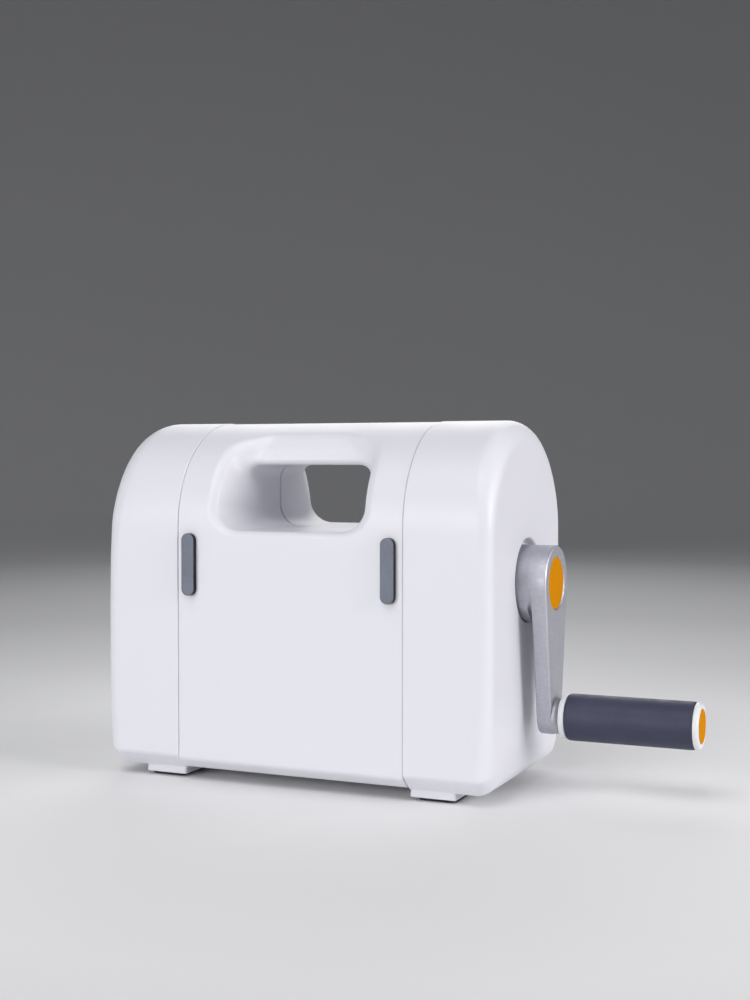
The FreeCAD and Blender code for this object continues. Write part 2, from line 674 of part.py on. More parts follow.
def gear(label, module, teeth, phase, x0, x1, bore, y, z, hub=None, holes=None):
    """Toothed wheel on the X axis; hub is (x0, x1, radius)."""
    x0v, x1v = dim(x0).val, dim(x1).val
    wire = involute_loop(module.val, int(teeth.val), phase)
    face = Part.Face(wire)
    ring = face.extrude(Vector(x1v - x0v, 0, 0))
    ring.translate(Vector(x0v, 0, 0))
    if hub is not None:
        h0, h1, hr = [dim(v).val for v in hub]
        ring = ring.fuse(Part.makeCylinder(hr, h1 - h0, Vector(h0, 0, 0), Vector(1, 0, 0)))
    ring = ring.cut(Part.makeCylinder(dim(bore).val, 60.0, Vector(min(x0v, -100) if x0v < 0 else 40.0, 0, 0), Vector(1, 0, 0)))
    if holes is not None:
        n, pr, hr = holes
        for k in range(n):
            a = 2.0 * math.pi * k / n + math.pi / n
            ring = ring.cut(Part.makeCylinder(hr, 60.0, Vector(-100.0 if x0v < 0 else 40.0,
                            pr * math.cos(a), pr * math.sin(a)), Vector(1, 0, 0)))
    obj = doc.addObject("Part::Feature", label)
    obj.Label = label
    obj.Shape = ring.removeSplitter()
    put(obj, 0.0, y, z)
    return obj


def meshed(phase1, n1, n2, direction):
    """Phase of the second wheel so that it is in mesh with the first."""
    f1 = ((direction - phase1) * n1 / (2.0 * math.pi)) % 1.0
    return direction + math.pi - 2.0 * math.pi * (0.5 - f1) / n2


n_pin, n_idl, n_low, n_syn = int(z_pin.val), int(z_idl.val), int(z_low.val), int(z_syn.val)
ph_pin = math.radians(90.0)
ph_idl = meshed(ph_pin, n_pin, n_idl, math.radians(-90.0))
ph_low = meshed(ph_idl, n_idl, n_low, math.radians(-90.0))
gear("crank_pinion", mod_main, z_pin, ph_pin, 56.2, 64.2, shaft_r - 0.01, 0.0, crank_z, hub=(53.6, 56.2, 6.0))
gear("idler_gear", mod_main, z_idl, ph_idl, 56.4, 64.0, axle_run, 0.0, idler_z, holes=(6, 9.2, 3.0))
gear("lower_roller_gear", mod_main, z_low, ph_low, 56.2, 64.2, shaft_r - 0.01, 0.0, low_z, hub=(53.6, 56.2, 6.4))

ph_s1 = math.radians(90.0)
d1 = math.atan2(sync_a.val - low_z.val, -sync_ay.val)
ph_s2 = meshed(ph_s1, n_syn, n_syn, d1)
d2 = math.atan2(sync_b.val - sync_a.val, 2.0 * sync_ay.val)
ph_s3 = meshed(ph_s2, n_syn, n_syn, d2)
d3 = math.atan2(upp_z.val - sync_b.val, -sync_ay.val)
ph_s4 = meshed(ph_s3, n_syn, n_syn, d3)
gear("lower_sync_gear", mod_sync, z_syn, ph_s1, -64.2, -56.2, shaft_r - 0.01, 0.0, low_z, hub=(-56.2, -53.6, 6.0))
gear("sync_idler_low", mod_sync, z_syn, ph_s2, -64.0, -56.4, axle_run, -sync_ay, sync_a)
gear("sync_idler_high", mod_sync, z_syn, ph_s3, -64.0, -56.4, axle_run, sync_ay, sync_b)
gear("upper_sync_gear", mod_sync, z_syn, ph_s4, -64.2, -56.2, shaft_r - 0.01, 0.0, upp_z, hub=(-56.2, -53.6, 6.0))

turned("idler_axle", [(plate_i, plate_i + plate_t, axle_r), (plate_i + plate_t, 56.2, 4.6),
                      (56.2, 66.4, axle_r)], 0.0, idler_z)


def sync_axle(name, y, z):
    return fuse(name, [rod(name + "_end", -(plate_i + plate_t), -plate_i, axle_r, y, z),
                       rod(name + "_collar", -56.2, -(plate_i + plate_t), 4.6, y, z),
                       rod(name + "_journal", -66.4, -56.2, axle_r, y, z)])


group("sync_idler_axles", [sync_axle("sync_axle_low", -sync_ay, sync_a), sync_axle("sync_axle_high", sync_ay, sync_b)])


def clip(name, x0, x1, y, z, inner, outer):
    ring = cut(name + "_ring", rod(name + "_disc", x0, x1, outer, y, z), rod(name + "_hole", dim(x0) - 1, dim(x1) + 1, inner, y, z))
    gap = block(name + "_gap", dim(x0) - 1, dim(x1) + 1, dim(y) - 0.9, dim(y) + 0.9, dim(z) + dim(inner) * 0.5, dim(z) + outer + 1)
    return cut(name, ring, gap)


group("axle_clips", [clip("clip_idler", 64.2, 65.0, 0.0, idler_z, axle_r, 4.8),
                     clip("clip_sync_low", -65.0, -64.2, -sync_ay, sync_a, axle_r, 4.8),
                     clip("clip_sync_high", -65.0, -64.2, sync_ay, sync_b, axle_r, 4.8)])
group("lower_roller_clips", [clip("clip_low_right", 64.3, 65.1, 0.0, low_z, shaft_r, 5.8),
                             clip("clip_low_left", -65.1, -64.3, 0.0, low_z, shaft_r, 5.8)])
group("upper_roller_clips", [clip("clip_upp_right", 53.5, 54.3, 0.0, upp_z, shaft_r, 5.1),
                             clip("clip_upp_left", -65.1, -64.3, 0.0, upp_z, shaft_r, 5.1)])
group("crank_shaft_clip", [clip("clip_crank", 48.0, 48.75, 0.0, crank_z, shaft_r, 5.8)])

# -------------------------------------------------------------------- crank
shaft_solid = rod("crank_shaft_rod", 47.7, 83.0, shaft_r, 0.0, 0.0)
shaft_tap = rod("crank_shaft_tap", 72.0, 84.0, 1.98, 0.0, 0.0)
shaft = cut("crank_shaft", shaft_solid, shaft_tap)
shaft.Label = "crank_shaft"
put(shaft, 0.0, 0.0, crank_z)


def crank_arm():
    body = new_body("crank_arm")
    drop = crank_z - gripax_z
    # the arm's two round ends joined by their outer tangents
    sn = (hub_r.val - arm_tip_r.val) / drop.val
    cs = math.sqrt(1.0 - sn * sn)
    ts = cell("arm_taper_sine", sn, "slope of the arm's sides")
    tc = cell("arm_taper_cosine", cs, "slope of the arm's sides")
    doc.recompute()
    pts = [(-arm_tip_r * tc, -drop - arm_tip_r * ts), (arm_tip_r * tc, -drop - arm_tip_r * ts),
           (hub_r * tc, -hub_r * ts), (-hub_r * tc, -hub_r * ts)]
    sk = attach(body, "arm_outline", "YZ_Plane", arm_i)
    outline(sk, pts, {0: (arm_tip_r, 1), 2: (hub_r, -1)})
    pad(body, sk, arm_o - arm_i)
    rim = body.newObject("PartDesign::Fillet", "arm_edge")
    rim.Base = (body.Tip if body.Tip else None, [])
    src = [o for o in body.Group if o.Name == "arm_outline_pad"][0]
    rim.Base = (src, edges_where(src.Shape, lambda e: e.BoundBox.XLength < 1e-3 and abs(e.BoundBox.XMin - arm_o.val) < 1e-3))
    bind(rim, "Radius", 0.7)
    doc.recompute()
    x_pad(body, "arm_hub", disc(0.0, 0.0, hub_r), hub_i, arm_i + 1.0)
    x_pad(body, "arm_boss", disc(0.0, -drop, 6.2), arm_o - 1.0, arm_o + 2.1)
    x_cut(body, "arm_cap_seat", disc(0.0, 0.0, cap_r + 0.05), arm_o - 1.7, arm_o + 2.0)
    x_cut(body, "arm_bore", disc(0.0, 0.0, shaft_r), hub_i - 1.0, 83.0)
    x_cut(body, "arm_screw_pass", disc(0.0, 0.0, 2.1), 80.0, arm_o + 1.0)
    x_cut(body, "arm_screw_seat", disc(0.0, 0.0, 3.6), 84.2, arm_o + 1.0)
    x_cut(body, "arm_pin_hole", disc(0.0, -drop, 2.98), arm_i - 1.0, arm_o + 3.0)
    put(body, 0.0, 0.0, crank_z)
    return body


crank_arm()
screw = cut("arm_screw", fuse("arm_screw_solid", [rod("arm_screw_head", 84.2, 86.2, 3.5, 0.0, 0.0),
                                                  rod("arm_screw_shank", 74.0, 85.0, 1.98, 0.0, 0.0)]),
            rod("arm_screw_drive", 85.0, 87.0, 1.5, 0.0, 0.0))
screw.Label = "arm_screw"
put(screw, 0.0, 0.0, crank_z)
turned("hub_cap", [(arm_o - 1.7, arm_o - 0.3, cap_r), (arm_o - 0.3, arm_o - 0.1, cap_r - 0.2)], 0.0, crank_z)
turned("grip_pin", [(arm_i, arm_o + 2.1, 2.98), (arm_o + 2.1, 135.0, 2.9), (135.0, 137.0, 4.4)], 0.0, gripax_z)
turned("grip_core", [(arm_o + 2.4, arm_o + 2.9, 7.5), (arm_o + 2.9, arm_o + 4.8, 8.2), (arm_o + 4.8, 134.7, 5.6)],
       0.0, gripax_z, bore=3.0)
turned("grip_sleeve", [(arm_o + 4.8, arm_o + 5.2, sleeve_r - 0.4), (arm_o + 5.2, 137.8, sleeve_r), (137.8, 138.2, sleeve_r - 0.4)],
       0.0, gripax_z, bore=5.6)


def end_cap():
    body = new_body("grip_end_cap")
    sk = attach(body, "end_cap_profile", "XZ_Plane")
    pts = [(135.2, 4.7), (137.4, 4.7), (137.4, 0.0), (grip_end - 0.8, 0.0), (grip_end - 0.8, 6.05),
           (grip_end - 0.2, 6.05), (grip_end - 0.2, 7.5), (grip_end - 0.8, 8.2), (138.2, 8.2), (138.2, 5.55), (135.2, 5.55)]
    outline(sk, pts)
    doc.recompute()
    f = body.newObject("PartDesign::Revolution", "end_cap_turn")
    f.Profile = sk
    f.ReferenceAxis = (sk, ["H_Axis"])
    f.Angle = 360.0
    doc.recompute()
    put(body, 0.0, 0.0, gripax_z)


end_cap()
turned("grip_disc", [(grip_end - 0.8, grip_end - 0.2, 6.0), (grip_end - 0.2, grip_end, 5.8)], 0.0, gripax_z)

# -------------------------------------------------------------------- doors
STATIONS = (  # depth from the centre plane, side growth, floor drop, roof rise, lower and upper corner radius
    (-1.0, 0.0, 0.0, 0.0, 8.6, 4.5),
    (20.5, 0.0, 0.0, 0.0, 8.6, 4.5),
    (24.0, 0.2, 0.0, 1.0, 8.6, 4.6),
    (26.5, 0.5, 0.0, 8.0, 8.7, 4.8),
    (31.0, 1.2, 0.0, 8.0, 9.0, 5.0),
    (36.0, 3.0, 0.3, 8.0, 9.6, 5.5),
    (39.5, 5.2, 1.2, 8.0, 10.4, 6.0),
    (43.0, 8.0, 2.6, 8.0, 11.4, 6.5),
)


def mouth(w, z0, z1, rb, rt):
    """Outline of the hand opening at one depth, counter-clockwise."""
    w, z0, z1, rb, rt = dim(w), dim(z0), dim(z1), dim(rb), dim(rt)
    pts = [(-w + rb, z0), (w - rb, z0), (w, z0 + rb), (w, z1 - rt),
           (w - rt, z1), (-w + rt, z1), (-w, z1 - rt), (-w, z0 + rb)]
    return pts, {1: (rb, 1), 3: (rt, 1), 5: (rt, 1), 7: (rb, 1)}


def door(label, rotation):
    body = new_body(label)
    t = door_in
    hd = half_d - t
    ty, tz = tan_y - dir_y * t, tan_z - dir_z * t
    sk = attach(body, label + "_outline", "YZ_Plane")
    outline(sk, [(-(hd - door_cd), door_z), (-panel_y, door_z), (-panel_y, step_z), (-meet_y, step_z),
                 (-meet_y, top_z - t), (-ty, tz), (-hd, spring_z), (-hd, door_z + door_cz)],
            {4: (crown_r - t, 1), 5: (shoulder_r - t, 1)})
    pad(body, sk, door_x * 2.0, both=True)
    # hollow behind the front wall, open towards the rollers
    w = wall
    sk = attach(body, label + "_hollow", "YZ_Plane")
    outline(sk, [(-(hd - door_cd) + 1.2, door_z + w), (-panel_y + 1.0, door_z + w), (-panel_y + 1.0, step_z - w),
                 (-(hd - w), step_z - w), (-(hd - w), door_z + door_cz + 1.4)])
    pocket(body, sk, (door_x - w) * 2.0, both=True)
    # hollows beside the hand opening
    tyi, tzi = tan_y - dir_y * (t + w), tan_z - dir_z * (t + w)
    for i, sx in enumerate((1.0, -1.0)):
        for j, (xa, xb, ya) in enumerate(((34.5, door_x - w, None), (26.4, dim(34.6), 24.0))):
            x0, x1 = (dim(xa), dim(xb)) if sx > 0 else (-dim(xb), -dim(xa))
            sk = attach(body, label + "_side%d%d" % (i, j), "YZ_Plane", x0)
            if ya is None:
                outline(sk, [(-(hd - w), step_z - w - 0.5), (-2.6, step_z - w - 0.5), (-2.6, top_z - t - w),
                             (-tyi, tzi), (-(hd - w), spring_z)],
                        {2: (crown_r - t - w, 1), 3: (shoulder_r - t - w, 1)})
            else:
                outline(sk, [(-ya, step_z - w - 0.5), (-2.6, step_z - w - 0.5), (-2.6, 129.8), (-12.0, 128.8), (-ya, 124.0)])
            pocket(body, sk, x1 - x0, flip=True)
    # hollow inside the carry bar
    sk = attach(body, label + "_bar", "YZ_Plane")
    outline(sk, [(-20.8, 120.2), (-2.6, 120.2), (-2.6, 130.4), (-12.0, 129.2), (-20.8, 125.0)])
    pocket(body, sk, 26.5 * 2.0, both=True)
    # hinge bosses and panel screw bosses
    for i, (x0, x1) in enumerate(((38.0, door_x - 1.0), (-(door_x - 1.0), -38.0))):
        x_pad(body, label + "_lug%d" % i, disc(-hinge_y, hinge_z, 4.2), x0, x1)
    for i, (bx, bz) in enumerate(((34.0, 18.0), (-34.0, 18.0), (34.0, 82.0), (-34.0, 82.0))):
        sk = attach(body, label + "_post%d" % i, "XZ_Plane", panel_y + 2.1)
        circle(sk, bx, bz, 3.4)
        pad(body, sk, hd - 1.0 - panel_y - 2.1)
    for i, (bx, bz) in enumerate(((34.0, 18.0), (-34.0, 18.0), (34.0, 82.0), (-34.0, 82.0))):
        sk = attach(body, label + "_tap%d" % i, "XZ_Plane", panel_y)
        circle(sk, bx, bz, 1.3)
        pocket(body, sk, 10.0, flip=True)
    for i, (x0, x1) in enumerate(((37.0, 46.0), (-46.0, -37.0))):
        x_cut(body, label + "_pinhole%d" % i, disc(-hinge_y, hinge_z, 2.05), x0, x1)
    # magnet seats in the meeting face
    for i, mx in enumerate((38.2, -38.2)):
        sk = attach(body, label + "_seat%d" % i, "XZ_Plane", 0.0)
        circle(sk, mx, 112.0, 3.02)
        pocket(body, sk, 2.15, flip=True)
    # hand opening, flaring towards the front face
    sections = []
    for i, (dy, gx, lo, hi, rb, rt) in enumerate(STATIONS):
        sk = attach(body, label + "_mouth%d" % i, "XZ_Plane", dy)
        pts, arcs = mouth(grip_w + gx, grip_lo - lo, grip_hi + hi, rb, rt)
        outline(sk, pts, arcs)
        sections.append(sk)
    doc.recompute()
    before = body.Shape.Volume
    loft = body.newObject("PartDesign::SubtractiveLoft", label + "_opening")
    loft.Profile = sections[0]
    loft.Sections = sections[1:]
    loft.Ruled = True
    doc.recompute()
    if not body.Shape.Volume < before - 1000.0:
        raise RuntimeError("the hand opening cut nothing")
    put(body, rotation=rotation)
    return body


def platform(label, rotation):
    body = new_body(label)
    sk = attach(body, label + "_sheet", "XZ_Plane", panel_y)
    pts, arcs = rounded(-(door_x - wall - 0.1), door_x - wall - 0.1, door_z + wall + 0.1, step_z - wall - 0.1, 1.0)
    outline(sk, pts, arcs)
    pad(body, sk, 2.0)
    for i, (bx, bz) in enumerate(((34.0, 18.0), (-34.0, 18.0), (34.0, 82.0), (-34.0, 82.0))):
        sk = attach(body, label + "_hole%d" % i, "XZ_Plane", panel_y - 1.0)
        circle(sk, bx, bz, 1.6)
        pocket(body, sk, 5.0, flip=True)
        sk = attach(body, label + "_sink%d" % i, "XZ_Plane", panel_y - 1.0)
        circle(sk, bx, bz, 2.8)
        pocket(body, sk, 2.2, flip=True)
    put(body, rotation=rotation)
    return body


def panel_screws(label, rotation):
    items = []
    for i, (bx, bz) in enumerate(((34.0, 18.0), (-34.0, 18.0), (34.0, 82.0), (-34.0, 82.0))):
        seat = -(panel_y + 1.2)
        head = rod_y("%s_head%d" % (label, i), seat, seat + 1.05, 2.6, bx, bz)
        shank = rod_y("%s_shank%d" % (label, i), seat - 8.0, seat + 0.5, 1.28, bx, bz)
        drive = rod_y("%s_drive%d" % (label, i), seat + 0.5, seat + 2.0, 1.1, bx, bz)
        items.append(cut("%s_%d" % (label, i), fuse("%s_solid%d" % (label, i), [head, shank]), drive))
    return group(label, items, rotation=rotation)


def door_pads(label, rotation):
    items = []
    for i, sx in enumerate((1.0, -1.0)):
        x0, x1 = (doorpad_i, doorpad_o) if sx > 0 else (-doorpad_o, -doorpad_i)
        blk = block("%s_block%d" % (label, i), x0, x1, -doorpad_y, -(half_d - door_in), doorpad_lo, doorpad_hi)
        doc.recompute()
        rnd = doc.addObject("Part::Fillet", "%s_round%d" % (label, i))
        rnd.Base = blk
        rnd.Edges = [(k + 1, 2.4, 2.4) for k, e in enumerate(blk.Shape.Edges) if e.BoundBox.YLength > 1.0]
        doc.recompute()
        top = doc.addObject("Part::Fillet", "%s_%d" % (label, i))
        top.Base = rnd
        ymin = rnd.Shape.BoundBox.YMin
        top.Edges = [(k + 1, 0.7, 0.7) for k, e in enumerate(rnd.Shape.Edges)
                     if e.BoundBox.YLength < 1e-3 and abs(e.BoundBox.YMin - ymin) < 1e-3]
        items.append(top)
    return group(label, items, rotation=rotation)


def hinge_pins(label, rotation):
    return group(label, [rod(label + "_r", 38.4, 48.6, 2.0, -hinge_y, hinge_z),
                         rod(label + "_l", -48.6, -38.4, 2.0, -hinge_y, hinge_z)], rotation=rotation)


def magnets(label, rotation):
    return group(label, [rod_y("%s_%d" % (label, i), -2.15, -0.2, 3.0, mx, 112.0)
                         for i, mx in enumerate((38.2, -38.2))], rotation=rotation)


half_turn = Rotation(Vector(0, 0, 1), 180)
for side, rot in (("front", Rotation()), ("rear", half_turn)):
    door(side + "_door_shell", rot)
    platform(side + "_platform_panel", rot)
    panel_screws(side + "_panel_screws", rot)
    door_pads(side + "_door_pads", rot)
    hinge_pins(side + "_hinge_pins", rot)
    magnets(side + "_door_magnets", rot)

doc.recompute()
for obj in PIECES:
    obj.touch()
doc.recompute()

# ------------------------------------------------------------ check and write
bad = []
for obj in doc.Objects:
    if "Invalid" in obj.State or "Error" in obj.State:
        bad.append("%s %s" % (obj.Name, obj.State))
for obj in PIECES:
    if obj.Shape.isNull() or not obj.Shape.isValid() or not obj.Shape.Solids:
        bad.append("%s has no valid shape" % obj.Label)
if bad:
    raise RuntimeError("; ".join(bad))

os.makedirs("parts", exist_ok=True)
for obj in PIECES:
    obj.Shape.exportStep("parts/%s.step" % obj.Label)
    box = obj.Shape.BoundBox
    print("%-22s solids %d  volume %10.1f  x %.2f..%.2f  y %.2f..%.2f  z %.2f..%.2f" % (
        obj.Label, len(obj.Shape.Solids), obj.Shape.Volume,
        box.XMin, box.XMax, box.YMin, box.YMax, box.ZMin, box.ZMax))
print(len(PIECES), "pieces")
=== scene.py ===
import json
import math

import bmesh
import bpy
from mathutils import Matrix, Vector


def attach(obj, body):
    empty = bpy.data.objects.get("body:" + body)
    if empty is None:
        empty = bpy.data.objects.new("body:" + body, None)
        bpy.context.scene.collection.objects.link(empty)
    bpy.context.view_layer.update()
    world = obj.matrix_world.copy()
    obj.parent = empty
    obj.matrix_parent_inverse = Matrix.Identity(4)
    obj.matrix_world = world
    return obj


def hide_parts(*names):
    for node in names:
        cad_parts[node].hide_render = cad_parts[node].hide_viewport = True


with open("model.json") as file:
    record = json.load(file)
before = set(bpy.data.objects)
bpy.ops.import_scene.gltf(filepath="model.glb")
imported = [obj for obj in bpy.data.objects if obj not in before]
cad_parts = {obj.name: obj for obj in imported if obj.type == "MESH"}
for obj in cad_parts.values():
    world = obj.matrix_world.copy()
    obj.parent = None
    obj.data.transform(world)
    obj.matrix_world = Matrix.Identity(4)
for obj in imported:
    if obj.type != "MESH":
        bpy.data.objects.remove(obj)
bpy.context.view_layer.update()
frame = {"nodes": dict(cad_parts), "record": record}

# The machine is laid out in millimetres about the middle of its body, as the
# drawing of the frame is; the frame's own origin lies 31.75 mm to the right.
SHIFT = -31.75
NODES = frame["nodes"]


def to_m(p):
    return ((p[0] + SHIFT) / 1000.0, p[1] / 1000.0, p[2] / 1000.0)


def lerp(a, b, f):
    return tuple(x + (y - x) * f for x, y in zip(a, b))


def smooth(f):
    f = min(1.0, max(0.0, f))
    return f * f * (3.0 - 2.0 * f)


# ---------------------------------------------------------------- camera
scene = bpy.context.scene
cam = bpy.data.cameras.new("view_camera")
cam_obj = bpy.data.objects.new("view_camera", cam)
scene.collection.objects.link(cam_obj)
yaw, pitch = math.radians(23.75), math.radians(1.56)
cam_obj.location = Vector((0.2366 - 0.03175, -0.5001, 0.1190))
look = Vector((-math.sin(yaw) * math.cos(pitch), math.cos(yaw) * math.cos(pitch), -math.sin(pitch)))
cam_obj.rotation_mode = "QUATERNION"
cam_obj.rotation_quaternion = look.to_track_quat("-Z", "Y")
cam.sensor_width = 36.0
cam.lens = 1441.99 / 1000.0 * 36.0
cam.clip_start = 0.01
cam.clip_end = 20.0
scene.camera = cam_obj
scene.view_settings.view_transform = "Standard"
scene.view_settings.look = "None"


# ------------------------------------------------------------- materials
class Paint:
    """A node material: object coordinates, noise and a principled shader."""

    def __init__(self, name, **sockets):
        self.mat = bpy.data.materials.new(name)
        self.mat.use_nodes = True
        self.nt = self.mat.node_tree
        self.sh = self.nt.nodes["Principled BSDF"]
        self.coord = self.node("ShaderNodeTexCoord")
        self.height = None
        for key, value in sockets.items():
            self.set(key, value)

    def node(self, kind, **attrs):
        n = self.nt.nodes.new(kind)
        for key, value in attrs.items():
            setattr(n, key, value)
        return n

    def set(self, key, value):
        sock = self.sh.inputs[key.replace("_", " ")]
        if isinstance(value, tuple) and len(value) == 3:
            value = (*value, 1.0)
        sock.default_value = value

    def link(self, a, b):
        self.nt.links.new(a, b)

    def place(self, scale=(1.0, 1.0, 1.0), rotation=(0.0, 0.0, 0.0), location=(0.0, 0.0, 0.0)):
        m = self.node("ShaderNodeMapping")
        m.inputs["Scale"].default_value = scale
        m.inputs["Rotation"].default_value = rotation
        m.inputs["Location"].default_value = location
        self.link(self.coord.outputs["Object"], m.inputs["Vector"])
        return m.outputs["Vector"]

    def noise(self, scale, detail=3.0, rough=0.5, vector=None, distortion=0.0):
        n = self.node("ShaderNodeTexNoise")
        n.inputs["Scale"].default_value = scale
        n.inputs["Detail"].default_value = detail
        n.inputs["Roughness"].default_value = rough
        n.inputs["Distortion"].default_value = distortion
        self.link(vector if vector is not None else self.coord.outputs["Object"], n.inputs["Vector"])
        return n.outputs["Fac"]

    def span(self, fac, lo, hi, a=0.3, b=0.7):
        r = self.node("ShaderNodeMapRange")
        r.inputs["From Min"].default_value = a
        r.inputs["From Max"].default_value = b
        r.inputs["To Min"].default_value = lo
        r.inputs["To Max"].default_value = hi
        self.link(fac, r.inputs["Value"])
        return r.outputs["Result"]

    def ramp(self, fac, stops):
        r = self.node("ShaderNodeValToRGB")
        el = r.color_ramp.elements
        el[0].position, el[0].color = stops[0][0], (*stops[0][1], 1.0)
        el[1].position, el[1].color = stops[-1][0], (*stops[-1][1], 1.0)
        for pos, col in stops[1:-1]:
            e = el.new(pos)
            e.color = (*col, 1.0)
        self.link(fac, r.inputs["Fac"])
        return r.outputs["Color"]

    def blend(self, fac, a, b):
        m = self.node("ShaderNodeMix", data_type="RGBA")
        self.link(fac, m.inputs["Factor"])
        for sock, v in ((m.inputs[6], a), (m.inputs[7], b)):
            if isinstance(v, tuple):
                sock.default_value = (*v, 1.0)
            else:
                self.link(v, sock)
        return m.outputs[2]

    def colour(self, out):
        self.link(out, self.sh.inputs["Base Color"])

    def rough(self, out):
        self.link(out, self.sh.inputs["Roughness"])

    def bump(self, fac, distance, strength=1.0):
        b = self.node("ShaderNodeBump")
        b.inputs["Strength"].default_value = strength
        b.inputs["Distance"].default_value = distance
        self.link(fac, b.inputs["Height"])
        if self.height is not None:
            self.link(self.height, b.inputs["Normal"])
        self.height = b.outputs["Normal"]
        self.link(self.height, self.sh.inputs["Normal"])

    def edge(self, radius=0.0006):
        """0 in the middle of a face and 1 on its worn, rounded edges."""
        b = self.node("ShaderNodeBevel", samples=4)
        b.inputs["Radius"].default_value = radius
        g = self.node("ShaderNodeNewGeometry")
        d = self.node("ShaderNodeVectorMath", operation="DOT_PRODUCT")
        self.link(b.outputs["Normal"], d.inputs[0])
        self.link(g.outputs["Normal"], d.inputs[1])
        return self.span(d.outputs["Value"], 1.0, 0.0, 0.80, 0.995)


def shade(c, k):
    return tuple(min(1.0, x * k) for x in c)


def plastic(name, base, rough, grain=5200.0, depth=0.000006, spread=0.02, gloss=0.5, bump_strength=0.5):
    p = Paint(name, Roughness=rough, IOR=1.49, Specular_IOR_Level=gloss)
    low = p.noise(14.0, 4.0, 0.55)
    fine = p.noise(900.0, 3.0, 0.6)
    mix = p.ramp(low, [(0.30, shade(base, 1.0 - spread)), (0.52, base), (0.74, shade(base, 1.0 + spread * 0.6))])
    tint = p.blend(p.span(fine, 0.0, 0.10, 0.35, 0.75), mix, shade(base, 0.93))
    p.colour(tint)
    p.rough(p.span(p.noise(60.0, 4.0, 0.6), rough - 0.04, rough + 0.05))
    p.bump(p.noise(grain, 2.0, 0.6), depth, bump_strength)
    return p.mat


def rubber(name, base, rough=0.62, grain=2600.0, depth=0.00002, spread=0.10, gloss=0.5, rim=None):
    p = Paint(name, Roughness=rough, IOR=1.45, Specular_IOR_Level=gloss)
    low = p.noise(120.0, 4.0, 0.6)
    dust = p.noise(1500.0, 3.0, 0.7)
    mix = p.ramp(low, [(0.32, shade(base, 1.0 - spread)), (0.55, base), (0.76, shade(base, 1.0 + spread))])
    mix = p.blend(p.span(dust, 0.0, 0.16, 0.45, 0.80), mix, shade(base, 1.9))
    if rim is not None:
        # the strip is near-black on its flank, behind its face, and grey on the face
        axes = p.node("ShaderNodeSeparateXYZ")
        p.link(p.coord.outputs["Object"], axes.inputs["Vector"])
        depth_of = p.node("ShaderNodeMath", operation="ABSOLUTE")
        p.link(axes.outputs["Y"], depth_of.inputs[0])
        mix = p.blend(p.span(depth_of.outputs["Value"], 1.0, 0.0, 0.04302, 0.04322), mix, rim)
    p.colour(mix)
    p.rough(p.span(p.noise(220.0, 3.0, 0.6), rough - 0.07, rough + 0.08))
    p.bump(p.noise(grain, 3.0, 0.65), depth, 0.6)
    return p.mat


def metal(name, base, rough, streak=None, spread=0.12, flakes=0.0, pits=0.0, metallic=1.0, depth=0.000004):
    p = Paint(name, Roughness=rough, Metallic=metallic)
    if streak is not None:
        lines = p.noise(1.0, 5.0, 0.7, vector=p.place(scale=streak))
    else:
        lines = p.noise(700.0, 4.0, 0.7)
    low = p.noise(45.0, 4.0, 0.6)
    mix = p.ramp(low, [(0.30, shade(base, 1.0 - spread)), (0.52, base), (0.75, shade(base, 1.0 + spread * 0.7))])
    mix = p.blend(p.span(lines, 0.0, 0.30, 0.40, 0.72), mix, shade(base, 0.78))
    if flakes:
        v = p.node("ShaderNodeTexVoronoi", feature="F1")
        v.inputs["Scale"].default_value = 5200.0
        p.link(p.coord.outputs["Object"], v.inputs["Vector"])
        sparkle = p.node("ShaderNodeSeparateColor")
        p.link(v.outputs["Color"], sparkle.inputs["Color"])
        mix = p.blend(p.span(sparkle.outputs["Red"], 0.0, flakes, 0.55, 1.0), mix, shade(base, 1.55))
    if pits:
        spots = p.noise(260.0, 5.0, 0.75)
        mix = p.blend(p.span(spots, 0.0, pits, 0.60, 0.80), mix, shade(base, 0.45))
    p.colour(mix)
    p.rough(p.span(lines, rough - 0.06, rough + 0.09))
    p.bump(lines, depth, 0.5)
    return p.mat


